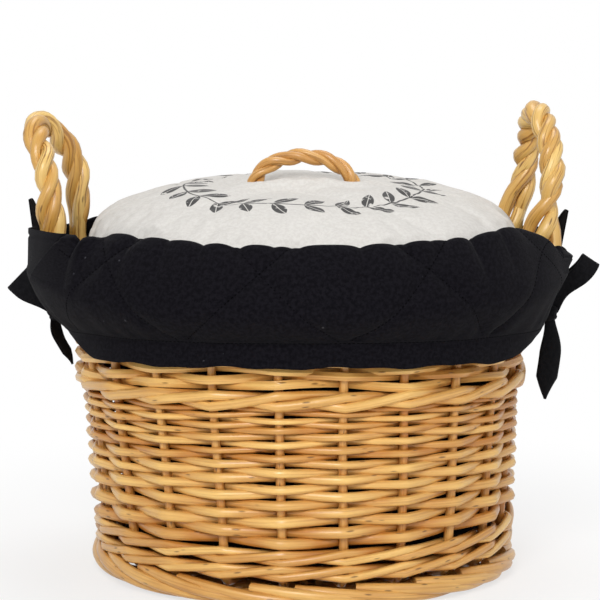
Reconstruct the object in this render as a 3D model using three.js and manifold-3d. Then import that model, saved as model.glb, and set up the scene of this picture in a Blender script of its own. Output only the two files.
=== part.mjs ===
// A round willow basket that keeps boiled potatoes warm at table. It has two twisted willow handles,
// a quilted liner whose skirt folds over the rim, and a loose padded lid with a handle of its own.
// Units are millimetres and +Z is up. The origin lies on the table under the middle of the basket.
// The front faces -Y, and a handle stands near each end of X.
import * as THREE from "three";
import { mergeVertices } from "three/addons/utils/BufferGeometryUtils.js";
import Module from "manifold-3d";

const wasm = await Module();
wasm.setup();

// Gap between pieces that touch
const CLEARANCE = 0.3;

// Willow base and foot
const FOOT_STAKE_RADIUS = 108;
const FOOT_HEIGHT = 13;
const FOOT_INSET = 11;
const FOOT_OVERHANG = 8.5;
const FOOT_ROUNDING = 4.5;
const BASE_RECESS = 3.5;
const BASE_THICKNESS = 5.5;
const BASE_STICK_DIAMETER = 4.6;
const BASE_STICK_SPACING = 8;
const BASE_STICK_COUNT = 3;

// Willow side
const RIM_STAKE_RADIUS = 121;
const BASKET_HEIGHT = 172;
const BORDER_HEIGHT = 14;
const STAKE_COUNT = 21;
const STAKE_DIAMETER = 5.2;
const STAKE_BEND_RADIUS = 5;
const STAKE_FOOT_LENGTH = 26;
const FIRST_STAKE_DEGREES = 264;
const WALE_WIDTH = 5.4;
const WALE_DEPTH = 5.2;
const WEAVER_WIDTH = 4.8;
const WEAVER_DEPTH = 4.4;
const LOWER_WALE_TOP = 36;
const SIDE_WEAVE_DROP = 68;
const UPPER_WALE_DROP = 44;
const TOP_WEAVE_DROP = 22;

// Side handles
const HANDLE_ROD_DIAMETER = 6.4;
const HANDLE_ROD_COUNT = 3;
const HANDLE_TWIST_PITCH = 44;
const HANDLE_LEG_SPACING = 64;
const HANDLE_RISE_LEFT = 78;
const HANDLE_RISE_RIGHT = 84;
const HANDLE_SPRING_RISE = 28;
const HANDLE_TUCK = 8;
const HANDLE_LEAN_LEFT = 17;
const HANDLE_LEAN_RIGHT = -1;
const HANDLE_SET_BACK_DEGREES = 12;

// Quilted liner
const LINER_THICKNESS = 4.5;
const COLLAR_RISE_FRONT = 25;
const COLLAR_RISE_SIDE = 9;
const COLLAR_RISE_BACK = 8;
const COLLAR_FULLNESS = 5;
const COLLAR_WIDTH = 16;
const SKIRT_EASE = 1.5;
const SKIRT_WIDEST_DROP = 7;
const SKIRT_SHOULDER_DROP = 11;
const SKIRT_TUCK_IN = 7;
const HEM_DROP_SIDE = 35;
const HEM_DROP_FRONT = 26;
const HEM_DEPTH = 11;
const HEM_EASE = 1.2;
const SLIT_HALF_DEGREES = 18;
const SLIT_FOLD_DEGREES = 7;
const SLIT_RISE_FRONT = 15;
const SLIT_RISE_BACK = 29;
const SLIT_RISE_INNER = 8;
const GATHER_COUNT = 20;
const GATHER_DEPTH = 1.6;

// Ties and label tab
const RIBBON_WIDTH = 13;
const RIBBON_THICKNESS = 1.2;
const KNOT_SIZE = 9;
const KNOT_EASE = 1;
const LOOP_LENGTH = 22;
const LOOP_RISE_DEGREES = 48;
const LOOP_OPENING = 4;
const TAIL_LENGTH = 46;
const TAB_WIDTH = 12;
const TAB_HEIGHT = 14;

// Lid
const LID_OVERLAP = 5.4;
const LID_SIDE_HEIGHT = 22;
const LID_CROWN = 13;
const LID_ROUNDING = 5;
const LID_COVER_THICKNESS = 1.8;
const LID_LIP_WIDTH = 15;
const LID_WEAVE_THICKNESS = 7.5;
const LID_ELASTIC_DIAMETER = 1.4;
const LID_ROD_DIAMETER = 4.4;
const LID_ROD_COUNT = 3;
const LID_TWIST_PITCH = 46;
const LID_HANDLE_SPACING = 54;
const LID_HANDLE_RISE = 22;
const LID_HOLE_EASE = 0.6;

// Facets
const RING_SEGMENTS = 36;
const ROD_SIDES = 5;
const HANDLE_STEPS = 38;
const LID_HANDLE_STEPS = 22;
const SKIRT_STEPS = 36;

const UP = new THREE.Vector3(0, 0, 1);

const willow = new THREE.MeshStandardMaterial({ color: 0xc9974f, roughness: 0.5, metalness: 0 });
const handleWillow = new THREE.MeshStandardMaterial({ color: 0xd9ae62, roughness: 0.45, metalness: 0 });
const blackCotton = new THREE.MeshStandardMaterial({ color: 0x17161c, roughness: 0.95, metalness: 0 });
const blackRibbon = new THREE.MeshStandardMaterial({ color: 0x121217, roughness: 0.7, metalness: 0 });
const creamCotton = new THREE.MeshStandardMaterial({ color: 0xe7e1da, roughness: 0.95, metalness: 0 });
const wadding = new THREE.MeshStandardMaterial({ color: 0xf2f0ea, roughness: 1, metalness: 0 });

const group = new THREE.Group();

function add(name, geometry, material) {
  const mesh = new THREE.Mesh(geometry, material);
  mesh.name = name;
  group.add(mesh);
}

function polar(radius, angle, height) {
  return new THREE.Vector3(radius * Math.cos(angle), radius * Math.sin(angle), height);
}

function regularOutline(diameter, sides) {
  return Array.from({ length: sides }, (_, index) => {
    const angle = (2 * Math.PI * index) / sides;
    return new THREE.Vector2((diameter / 2) * Math.cos(angle), (diameter / 2) * Math.sin(angle));
  });
}

// A closed body through rings of equal point counts. The outline is the first ring in its own plane.
function loft(rings, outline) {
  const count = outline.length;
  const faces = [];
  for (let ring = 0; ring + 1 < rings.length; ring++) {
    for (let corner = 0; corner < count; corner++) {
      const here = ring * count + corner;
      const next = ring * count + ((corner + 1) % count);
      faces.push(here, next, next + count, here, next + count, here + count);
    }
  }
  const last = (rings.length - 1) * count;
  for (const [a, b, c] of THREE.ShapeUtils.triangulateShape(outline, [])) {
    faces.push(a, c, b, last + a, last + b, last + c);
  }
  const geometry = new THREE.BufferGeometry().setFromPoints(rings.flat());
  geometry.setIndex(faces);
  return geometry;
}

// A rod along a row of points. The outline's Y keeps as near as it can to the reference direction.
function rod(points, outline, reference) {
  const rings = points.map((point, index) => {
    const before = points[Math.max(index - 1, 0)];
    const after = points[Math.min(index + 1, points.length - 1)];
    const along = after.clone().sub(before).normalize();
    const across = reference.clone().addScaledVector(along, -reference.dot(along)).normalize();
    const side = across.clone().cross(along);
    return outline.map((corner) =>
      point.clone().addScaledVector(side, corner.x).addScaledVector(across, corner.y),
    );
  });
  return loft(rings, outline);
}

// A turned body from a profile of [radius, height] points, listed anticlockwise
function turned(profile) {
  const points = profile.map(([radius, height]) => new THREE.Vector2(radius, height));
  return new THREE.LatheGeometry(points, RING_SEGMENTS).rotateX(Math.PI / 2);
}

function turnedRing(profile) {
  return turned([...profile, profile[0]]);
}

// The outline of a layer of cloth on both sides of its middle line, anticlockwise
function thicken(line, thickness) {
  const normals = line.map((point, index) => {
    const before = line[Math.max(index - 1, 0)];
    const after = line[Math.min(index + 1, line.length - 1)];
    const along = after.clone().sub(before).normalize();
    return new THREE.Vector2(-along.y, along.x).multiplyScalar(thickness / 2);
  });
  const under = line.map((point, index) => point.clone().sub(normals[index]));
  const over = line.map((point, index) => point.clone().add(normals[index]));
  return [...under, ...over.reverse()];
}

function solid(geometry) {
  const bare = geometry.clone();
  bare.deleteAttribute("normal");
  bare.deleteAttribute("uv");
  const merged = mergeVertices(bare, 1e-4);
  const vertProperties = new Float32Array(merged.getAttribute("position").array);
  const triVerts = new Uint32Array(merged.getIndex().array);
  return new wasm.Manifold(new wasm.Mesh({ numProp: 3, vertProperties, triVerts }));
}

function geometryOf(manifold) {
  const { vertProperties, triVerts } = manifold.getMesh();
  const geometry = new THREE.BufferGeometry();
  geometry.setAttribute("position", new THREE.BufferAttribute(vertProperties, 3));
  geometry.setIndex(new THREE.BufferAttribute(triVerts, 1));
  return geometry;
}

// Levels and radii that several pieces share
const baseTop = BASE_RECESS + BASE_THICKNESS;
const stakeFootHeight = baseTop + CLEARANCE + STAKE_DIAMETER / 2;
const stakeBendTop = stakeFootHeight + STAKE_BEND_RADIUS;
const borderBottom = BASKET_HEIGHT - BORDER_HEIGHT;
const wallReach = STAKE_DIAMETER / 2 + CLEARANCE + Math.max(WALE_WIDTH, WEAVER_WIDTH);
const borderInner = RIM_STAKE_RADIUS - wallReach;
const borderOuter = RIM_STAKE_RADIUS + wallReach;
const footInner = FOOT_STAKE_RADIUS - FOOT_INSET;
const linerTop = BASKET_HEIGHT + CLEARANCE + LINER_THICKNESS;
const linerWallOuter = borderInner - CLEARANCE;
const lidRadius = borderInner + LID_OVERLAP;
const lidBottom = linerTop + CLEARANCE;

// Radius of the stakes' own circle at a height
function stakeRadius(height) {
  const share = (height - stakeBendTop) / (borderBottom - stakeBendTop);
  return THREE.MathUtils.lerp(FOOT_STAKE_RADIUS, RIM_STAKE_RADIUS, share);
}

function stakeAngle(index) {
  return THREE.MathUtils.degToRad(FIRST_STAKE_DEGREES) + (2 * Math.PI * index) / STAKE_COUNT;
}

function addBase() {
  const radius = footInner - CLEARANCE;
  const disc = [[0, BASE_RECESS], [radius, BASE_RECESS], [radius, baseTop], [0, baseTop]];
  add("woven_base", turned(disc), willow);
  const length = 2 * (FOOT_STAKE_RADIUS - STAKE_FOOT_LENGTH - BASE_STICK_DIAMETER);
  let cross = null;
  for (let index = 0; index < BASE_STICK_COUNT; index++) {
    const offset = (index - (BASE_STICK_COUNT - 1) / 2) * BASE_STICK_SPACING;
    const height = baseTop + CLEARANCE + BASE_STICK_DIAMETER / 2;
    const stick = new THREE.CylinderGeometry(BASE_STICK_DIAMETER / 2, BASE_STICK_DIAMETER / 2, length, 6);
    const alongY = stick.clone().translate(offset, 0, height);
    const alongX = stick.rotateZ(Math.PI / 2).translate(0, offset, height);
    const pair = solid(alongY).add(solid(alongX));
    cross = cross ? cross.add(pair) : pair;
  }
  add("base_cross", geometryOf(cross), willow);
}

// The foot border hugs the bends of the stakes and stands on a flat ring.
function addFootBorder() {
  const outer = FOOT_STAKE_RADIUS + FOOT_OVERHANG;
  const bendRadius = FOOT_STAKE_RADIUS - STAKE_BEND_RADIUS;
  const hug = STAKE_BEND_RADIUS + STAKE_DIAMETER / 2 + CLEARANCE;
  const firstAngle = Math.asin((FOOT_HEIGHT - stakeBendTop) / hug);
  const hugging = [0, 0.33, 0.67, 1].map((share) => {
    const angle = THREE.MathUtils.lerp(firstAngle, -Math.PI / 2, share);
    return [bendRadius + hug * Math.cos(angle), stakeBendTop + hug * Math.sin(angle)];
  });
  const profile = [
    [footInner, 0],
    [outer - FOOT_ROUNDING, 0],
    [outer, FOOT_ROUNDING],
    [outer, FOOT_HEIGHT - FOOT_ROUNDING / 2],
    [outer - FOOT_ROUNDING / 2, FOOT_HEIGHT],
    ...hugging,
    [footInner, baseTop],
  ];
  add("foot_border", turnedRing(profile), willow);
}

// Each stake lies on the base, bends up at its edge and stands in the wall.
function addStakes() {
  const outline = regularOutline(STAKE_DIAMETER, ROD_SIDES);
  for (let index = 0; index < STAKE_COUNT; index++) {
    const angle = stakeAngle(index);
    const bend = [0, 1, 2].map((step) => {
      const turn = (step * Math.PI) / 4;
      const radius = FOOT_STAKE_RADIUS - STAKE_BEND_RADIUS * (1 - Math.sin(turn));
      return polar(radius, angle, stakeBendTop - STAKE_BEND_RADIUS * Math.cos(turn));
    });
    const points = [
      polar(FOOT_STAKE_RADIUS - STAKE_FOOT_LENGTH, angle, stakeFootHeight),
      ...bend,
      polar(RIM_STAKE_RADIUS, angle, borderBottom - CLEARANCE),
    ];
    const sideways = polar(1, angle + Math.PI / 2, 0);
    add(`stake_${String(index + 1).padStart(2, "0")}`, rod(points, outline, sideways), willow);
  }
}

// One rod winds up the wall, in front of one stake and behind the next. The odd number of stakes
// makes each round pass on the other side from the round below. Returns the height of its top.
function addWeave(name, bottom, top, width, depth) {
  const pitch = depth + CLEARANCE;
  const turns = Math.floor((top - bottom - depth) / pitch);
  const outline = regularOutline(1, 4).map(({ x, y }) => new THREE.Vector2(x * width, y * depth));
  const points = [];
  for (let step = 0; step <= turns * STAKE_COUNT; step++) {
    const height = bottom + depth / 2 + (pitch * step) / STAKE_COUNT;
    const side = step % 2 === 0 ? 1 : -1;
    const offset = STAKE_DIAMETER / 2 + CLEARANCE + width / 2;
    points.push(polar(stakeRadius(height) + side * offset, stakeAngle(step), height));
  }
  add(name, rod(points, outline, UP), willow);
  return bottom + depth + pitch * turns + CLEARANCE;
}

function addWall() {
  const wallBottom = stakeBendTop - WALE_DEPTH / 2 + CLEARANCE;
  const first = addWeave("lower_wale", wallBottom, LOWER_WALE_TOP, WALE_WIDTH, WALE_DEPTH);
  const second = addWeave("side_weave", first, BASKET_HEIGHT - SIDE_WEAVE_DROP, WEAVER_WIDTH, WEAVER_DEPTH);
  const third = addWeave("upper_wale", second, BASKET_HEIGHT - UPPER_WALE_DROP, WALE_WIDTH, WALE_DEPTH);
  addWeave("top_weave", third, BASKET_HEIGHT - TOP_WEAVE_DROP, WALE_WIDTH, WALE_DEPTH);
}

function addRimBorder() {
  const chamfer = BORDER_HEIGHT / 4;
  const profile = [
    [borderInner, borderBottom],
    [borderOuter - chamfer, borderBottom],
    [borderOuter, borderBottom + chamfer],
    [borderOuter, BASKET_HEIGHT - chamfer],
    [borderOuter - chamfer, BASKET_HEIGHT],
    [borderInner, BASKET_HEIGHT],
  ];
  add("rim_border", turnedRing(profile), willow);
}

// Distance of a twisted rod's own axis from the axis of the twist. The rods slope, so they need a
// little more room than upright ones.
function twistRadius(diameter, count) {
  const slopeAllowance = 1.12;
  return (diameter * slopeAllowance + CLEARANCE) / (2 * Math.sin(Math.PI / count));
}

// Rods twisted round a middle line, which is a function from 0..1 to a point
function twistedRods(middle, steps, { count, diameter, pitch }, reference) {
  const line = Array.from({ length: steps + 1 }, (_, step) => middle(step / steps));
  const radius = twistRadius(diameter, count);
  const outline = regularOutline(diameter, ROD_SIDES);
  const rods = [];
  for (let index = 0; index < count; index++) {
    let travelled = 0;
    const points = line.map((point, step) => {
      travelled += step > 0 ? point.distanceTo(line[step - 1]) : 0;
      const along = line[Math.min(step + 1, steps)].clone().sub(line[Math.max(step - 1, 0)]).normalize();
      const across = reference.clone().addScaledVector(along, -reference.dot(along)).normalize();
      const side = across.clone().cross(along);
      const turn = 2 * Math.PI * (travelled / pitch + index / count);
      return point
        .clone()
        .addScaledVector(side, radius * Math.cos(turn))
        .addScaledVector(across, radius * Math.sin(turn));
    });
    rods.push(rod(points, outline, reference));
  }
  return rods;
}

// An arch with straight legs in the plane of its spread, as [across, up] at 0..1 of the way round
function arch(share, halfSpread, bottom, spring, crown) {
  const legShare = 0.25;
  if (share < legShare) {
    return [-halfSpread, THREE.MathUtils.lerp(bottom, spring, share / legShare)];
  }
  if (share > 1 - legShare) {
    return [halfSpread, THREE.MathUtils.lerp(bottom, spring, (1 - share) / legShare)];
  }
  const turn = (Math.PI * (share - legShare)) / (1 - 2 * legShare);
  return [-halfSpread * Math.cos(turn), spring + (crown - spring) * Math.sin(turn)];
}

const handleBundle = twistRadius(HANDLE_ROD_DIAMETER, HANDLE_ROD_COUNT) + HANDLE_ROD_DIAMETER / 2;
const handleLegRadius = borderOuter + CLEARANCE + handleBundle;
const skirtRadius = handleLegRadius + handleBundle + SKIRT_EASE + LINER_THICKNESS / 2;
const skirtWidest = BASKET_HEIGHT - SKIRT_WIDEST_DROP;

// Direction in which a handle faces, seen from the middle of the basket
function handleAngle(side) {
  const setBack = THREE.MathUtils.degToRad(HANDLE_SET_BACK_DEGREES);
  return side === "right" ? setBack : Math.PI - setBack;
}

function addHandle(side) {
  const out = polar(1, handleAngle(side), 0);
  const sideways = polar(1, handleAngle(side) + Math.PI / 2, 0);
  const halfSpread = HANDLE_LEG_SPACING / 2;
  const legOut = Math.sqrt(handleLegRadius ** 2 - halfSpread ** 2);
  const bottom = BASKET_HEIGHT - HANDLE_TUCK;
  const spring = BASKET_HEIGHT + HANDLE_SPRING_RISE;
  const rise = side === "right" ? HANDLE_RISE_RIGHT : HANDLE_RISE_LEFT;
  const crownLean = side === "right" ? HANDLE_LEAN_RIGHT : HANDLE_LEAN_LEFT;
  const crown = BASKET_HEIGHT + rise - handleBundle;
  const middle = (share) => {
    const [across, height] = arch(share, halfSpread, bottom, spring, crown);
    const lean = crownLean * Math.max(0, (height - BASKET_HEIGHT) / (crown - BASKET_HEIGHT)) ** 3;
    const upright = new THREE.Vector3(0, 0, height);
    return upright.addScaledVector(out, legOut + lean).addScaledVector(sideways, across);
  };
  const twist = { count: HANDLE_ROD_COUNT, diameter: HANDLE_ROD_DIAMETER, pitch: HANDLE_TWIST_PITCH };
  const rods = twistedRods(middle, HANDLE_STEPS, twist, out);
  rods.forEach((geometry, index) => add(`handle_${side}_rod_${index + 1}`, geometry, handleWillow));
}

function addLinerBag() {
  const floorBottom = stakeFootHeight + STAKE_DIAMETER / 2 + CLEARANCE;
  const floorTop = floorBottom + LINER_THICKNESS;
  const wallBottom = floorTop + CLEARANCE;
  const bottomOuter = stakeRadius(wallBottom) - wallReach - CLEARANCE;
  const floorRadius = stakeRadius(floorBottom) - wallReach - CLEARANCE;
  const floor = [[0, floorBottom], [floorRadius, floorBottom], [floorRadius, floorTop], [0, floorTop]];
  add("liner_floor", turned(floor), blackCotton);
  const wall = [
    [bottomOuter - LINER_THICKNESS, wallBottom],
    [bottomOuter, wallBottom],
    [linerWallOuter, borderBottom],
    [linerWallOuter, linerTop],
    [linerWallOuter - LINER_THICKNESS, linerTop],
    [linerWallOuter - LINER_THICKNESS, borderBottom],
  ];
  add("liner_wall", turnedRing(wall), blackCotton);
}

// How far round towards the front or back a direction lies, 0 at the ends of X and 1 on the Y axis
function facing(angle) {
  return Math.sin(angle) ** 2;
}

function hemTop(angle) {
  return BASKET_HEIGHT - THREE.MathUtils.lerp(HEM_DROP_SIDE, HEM_DROP_FRONT, facing(angle));
}

function hemRadius(height) {
  return stakeRadius(height) + wallReach + HEM_EASE + LINER_THICKNESS / 2;
}

// The skirt's middle line in one direction, as [radius, height] from the rim to the hem. At a slit
// the part over the rim is gone and the cloth stands up outside the handle.
function skirtLine(angle, slit, slitRise) {
  const half = LINER_THICKNESS / 2;
  const seat = BASKET_HEIGHT + CLEARANCE + half;
  const highest = Math.sin(angle) < 0 ? COLLAR_RISE_FRONT : COLLAR_RISE_BACK;
  const fullness = 1 - (1 - facing(angle)) ** COLLAR_FULLNESS;
  const rise = THREE.MathUtils.lerp(COLLAR_RISE_SIDE, highest, fullness);
  const gather = GATHER_DEPTH * Math.cos(GATHER_COUNT * angle);
  const collarInner = lidRadius + CLEARANCE + half + GATHER_DEPTH;
  const collarOuter = collarInner + COLLAR_WIDTH;
  const hemStart = hemTop(angle) + CLEARANCE;
  const shoulderShare = 0.7;
  const full = [
    [borderInner, seat],
    [collarInner - half, seat],
    [collarInner + gather, seat + rise / 2],
    [(collarInner + collarOuter) / 2, seat + rise + gather],
    [collarOuter + gather, seat + rise * shoulderShare + gather / 2],
    [skirtRadius - half + gather, skirtWidest + SKIRT_SHOULDER_DROP],
    [skirtRadius + gather, skirtWidest],
    [skirtRadius - SKIRT_TUCK_IN + gather / 2, (skirtWidest + hemStart) / 2],
    [hemRadius(hemStart), hemStart + half],
    [hemRadius(hemStart), hemStart],
  ];
  const widestIndex = 6;
  const standing = full.map((point, index) => {
    const share = index / widestIndex;
    const height = THREE.MathUtils.lerp(BASKET_HEIGHT + slitRise, skirtWidest, share);
    return share < 1 ? [skirtRadius, height] : point;
  });
  return full.map(([radius, height], index) => {
    const [slitRadius, slitHeight] = standing[index];
    return new THREE.Vector2(
      THREE.MathUtils.lerp(radius, slitRadius, slit),
      THREE.MathUtils.lerp(height, slitHeight, slit ** 2),
    );
  });
}

// Directions along one half of the skirt, from one slit to the other, each with how open the slit is
// and how far the direction lies from the slit's edge
function skirtDirections(start, end) {
  const gap = CLEARANCE / skirtRadius;
  const slitHalf = THREE.MathUtils.degToRad(SLIT_HALF_DEGREES);
  const fold = THREE.MathUtils.degToRad(SLIT_FOLD_DEGREES);
  const edge = [[gap, 1], [slitHalf / 4, 1], [slitHalf / 2, 1], [slitHalf, 1], [slitHalf + fold / 2, 0.5]];
  const middleSpan = end - start - 2 * (slitHalf + fold);
  const middle = Array.from({ length: SKIRT_STEPS + 1 }, (_, step) => [
    start + slitHalf + fold + (middleSpan * step) / SKIRT_STEPS,
    0,
    slitHalf,
  ]);
  const opening = edge.map(([turn, slit]) => [start + turn, slit, turn]);
  const closing = edge.map(([turn, slit]) => [end - turn, slit, turn]).reverse();
  return [...opening, ...middle, ...closing];
}

// A strip of cloth that goes round the basket, given its middle line in each direction
function clothStrip(directions, lineAt) {
  const outlines = directions.map((direction) => thicken(lineAt(...direction), LINER_THICKNESS));
  const rings = directions.map(([angle], index) =>
    outlines[index].map((corner) => polar(corner.x, angle, corner.y)),
  );
  return loft(rings.reverse(), outlines[outlines.length - 1]);
}

function hemLine(angle) {
  const top = hemTop(angle);
  const bottom = top - HEM_DEPTH;
  return [new THREE.Vector2(hemRadius(top), top), new THREE.Vector2(hemRadius(bottom), bottom)];
}

// The cloth stands highest at a slit's edge and reaches the inner rise halfway along the slit
function addSkirtHalf(name, start, end, edgeRise, innerRise) {
  const directions = skirtDirections(start, end);
  const slitHalf = THREE.MathUtils.degToRad(SLIT_HALF_DEGREES);
  const riseAt = (turn) => THREE.MathUtils.lerp(edgeRise, innerRise, Math.min(1, (2 * turn) / slitHalf));
  const skirt = clothStrip(directions, (angle, slit, turn) => skirtLine(angle, slit, riseAt(turn)));
  add(`skirt_${name}`, skirt, blackCotton);
  add(`hem_${name}`, clothStrip(directions, hemLine), blackCotton);
}

function addSkirt() {
  const right = handleAngle("right");
  const left = handleAngle("left");
  addSkirtHalf("back", right, left, SLIT_RISE_BACK, SLIT_RISE_INNER);
  addSkirtHalf("front", left, right + 2 * Math.PI, SLIT_RISE_FRONT, SLIT_RISE_FRONT);
}

// A knot on the slit's closed foot, with a loop that stands out from it and a tail that hangs
function addTie(side) {
  const angle = handleAngle(side);
  const line = skirtLine(angle, 1, SLIT_RISE_FRONT);
  const upper = line[line.length - 3];
  const lower = line[line.length - 2];
  const down = lower.clone().sub(upper).normalize();
  const outward = new THREE.Vector2(-down.y, down.x);
  const stand = LINER_THICKNESS / 2 + KNOT_EASE + KNOT_SIZE / 2;
  const knotAt = upper.clone().lerp(lower, 0.7).addScaledVector(outward, stand + GATHER_DEPTH);
  const place = new THREE.Group();
  place.rotation.z = angle;
  group.add(place);

  const knot = new THREE.Mesh(new THREE.SphereGeometry(KNOT_SIZE / 2, 8, 6).scale(1, 1.4, 1), blackRibbon);
  knot.name = `tie_${side}_knot`;
  knot.position.set(knotAt.x, 0, knotAt.y);

  const inner = LOOP_OPENING / 2;
  const outer = inner + RIBBON_THICKNESS;
  const loopShape = new THREE.Shape();
  loopShape.moveTo(0, inner);
  loopShape.lineTo(LOOP_LENGTH - outer, inner);
  loopShape.absarc(LOOP_LENGTH - outer, 0, inner, Math.PI / 2, -Math.PI / 2, true);
  loopShape.lineTo(0, -inner);
  loopShape.lineTo(0, -outer);
  loopShape.lineTo(LOOP_LENGTH - outer, -outer);
  loopShape.absarc(LOOP_LENGTH - outer, 0, outer, -Math.PI / 2, Math.PI / 2, false);
  loopShape.lineTo(0, outer);
  loopShape.closePath();
  const loopOptions = { depth: RIBBON_WIDTH, bevelEnabled: false, curveSegments: 4 };
  const loopGeometry = new THREE.ExtrudeGeometry(loopShape, loopOptions).translate(
    KNOT_SIZE / 2 + CLEARANCE,
    0,
    -RIBBON_WIDTH / 2,
  );
  const loop = new THREE.Mesh(loopGeometry, blackRibbon);
  loop.name = `tie_${side}_loop`;
  loop.position.copy(knot.position);
  loop.rotation.y = -THREE.MathUtils.degToRad(LOOP_RISE_DEGREES);

  const tailShape = new THREE.Shape();
  tailShape.moveTo(-RIBBON_WIDTH / 2, 0);
  tailShape.lineTo(-RIBBON_WIDTH / 2, -TAIL_LENGTH);
  tailShape.lineTo(RIBBON_WIDTH / 2, -TAIL_LENGTH + RIBBON_WIDTH / 2);
  tailShape.lineTo(RIBBON_WIDTH / 2, 0);
  tailShape.closePath();
  const tailGeometry = new THREE.ExtrudeGeometry(tailShape, { depth: RIBBON_THICKNESS, bevelEnabled: false })
    .rotateX(Math.PI / 2)
    .translate(0, RIBBON_THICKNESS / 2, -KNOT_SIZE / 2 - CLEARANCE);
  const tail = new THREE.Mesh(tailGeometry, blackRibbon);
  tail.name = `tie_${side}_tail`;
  tail.position.copy(knot.position);
  place.add(knot, loop, tail);
}

// A small folded tab that stands on the rim beside the left handle's back leg
function addLabelTab() {
  const angle = handleAngle("left") - Math.asin(HANDLE_LEG_SPACING / 2 / handleLegRadius);
  const tab = new THREE.Mesh(new THREE.BoxGeometry(RIBBON_THICKNESS, TAB_WIDTH, TAB_HEIGHT), blackRibbon);
  tab.name = "label_tab";
  const radius = lidRadius + CLEARANCE + RIBBON_THICKNESS;
  tab.position.copy(polar(radius, angle, BASKET_HEIGHT + CLEARANCE + TAB_HEIGHT / 2));
  tab.rotation.z = angle;
  group.add(tab);
}

// Half of the lid's outer profile, from the underside's edge to the crown, drawn in by an inset
function lidProfile(inset) {
  const top = lidBottom + LID_SIDE_HEIGHT;
  const radius = lidRadius - inset;
  const edge = [
    [radius - LID_ROUNDING, lidBottom + inset],
    [radius, lidBottom + LID_ROUNDING + inset / 2],
    [radius, top - LID_ROUNDING - inset],
    [radius - LID_ROUNDING, top - inset],
  ];
  const domeRadius = radius - LID_ROUNDING;
  const dome = [0.75, 0.5, 0.25, 0].map((share) => {
    return [domeRadius * share, top - inset + LID_CROWN * (1 - share ** 2)];
  });
  return [...edge, ...dome];
}

const lidCrownTop = lidBottom + LID_SIDE_HEIGHT + LID_CROWN;
const lidWeaveBottom = lidBottom + LID_COVER_THICKNESS + CLEARANCE;
const lidWeaveTop = lidWeaveBottom + LID_WEAVE_THICKNESS;
const lidBundle = twistRadius(LID_ROD_DIAMETER, LID_ROD_COUNT) + LID_ROD_DIAMETER / 2;

// A lid layer with the two holes that the handle's legs pass through
function pierced(geometry) {
  const radius = lidBundle + LID_HOLE_EASE;
  const length = 2 * (lidCrownTop - lidBottom);
  const upright = new THREE.CylinderGeometry(radius, radius, length, 12).rotateX(Math.PI / 2);
  const hole = upright.translate(0, 0, lidBottom);
  const half = LID_HANDLE_SPACING / 2;
  const holes = solid(hole.clone().translate(-half, 0, 0)).add(solid(hole.clone().translate(half, 0, 0)));
  return geometryOf(solid(geometry).subtract(holes));
}

function addLid() {
  const lipInner = lidRadius - LID_ROUNDING - LID_LIP_WIDTH;
  const outside = [[lipInner, lidBottom], ...lidProfile(0)];
  const inside = [[lipInner, lidBottom + LID_COVER_THICKNESS], ...lidProfile(LID_COVER_THICKNESS)];
  add("lid_cover", pierced(turned([...inside.reverse(), ...outside])), creamCotton);

  const padInset = LID_COVER_THICKNESS + CLEARANCE;
  const padProfile = lidProfile(padInset).slice(2);
  const padBottom = lidWeaveTop + CLEARANCE;
  const pad = [[0, padBottom], [lidRadius - padInset, padBottom], ...padProfile];
  add("lid_wadding", pierced(turned(pad)), wadding);

  const weaveRadius = lidRadius - padInset - LID_ROUNDING;
  const discEdge = lidWeaveBottom + LID_WEAVE_THICKNESS / 2;
  const disc = [
    [0, lidWeaveBottom],
    [weaveRadius, lidWeaveBottom],
    [weaveRadius + LID_ROUNDING / 2, discEdge],
    [weaveRadius, lidWeaveTop],
    [0, lidWeaveTop],
  ];
  add("lid_weave", pierced(turned(disc)), willow);

  const elasticRadius = lipInner - CLEARANCE - LID_ELASTIC_DIAMETER / 2;
  const elastic = regularOutline(LID_ELASTIC_DIAMETER, 6).map((corner) => [
    elasticRadius + corner.x,
    lidBottom + LID_COVER_THICKNESS / 2 + corner.y,
  ]);
  add("lid_elastic", turnedRing(elastic), blackRibbon);
}

function addLidHandle() {
  const crown = lidCrownTop + LID_HANDLE_RISE - lidBundle;
  const middle = (share) => {
    const [across, height] = arch(share, LID_HANDLE_SPACING / 2, lidWeaveBottom, lidCrownTop, crown);
    return new THREE.Vector3(across, 0, height);
  };
  const facingBack = new THREE.Vector3(0, 1, 0);
  const twist = { count: LID_ROD_COUNT, diameter: LID_ROD_DIAMETER, pitch: LID_TWIST_PITCH };
  const rods = twistedRods(middle, LID_HANDLE_STEPS, twist, facingBack);
  rods.forEach((geometry, index) => add(`lid_handle_rod_${index + 1}`, geometry, handleWillow));
}

addBase();
addFootBorder();
addStakes();
addWall();
addRimBorder();
addHandle("left");
addHandle("right");
addLinerBag();
addSkirt();
addTie("left");
addTie("right");
addLabelTab();
addLid();
addLidHandle();

export default group;
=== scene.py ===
# %% [markdown]
# # A lined willow basket with a padded lid
# The basket keeps boiled potatoes warm at table. Peeled willow rods make its side, foot and handles,
# a quilted black cotton liner folds over the rim, and a loose cream lid closes it.
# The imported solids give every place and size. This script dresses them, one kind of piece at a time.

# %% Load the frame
import math

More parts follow.
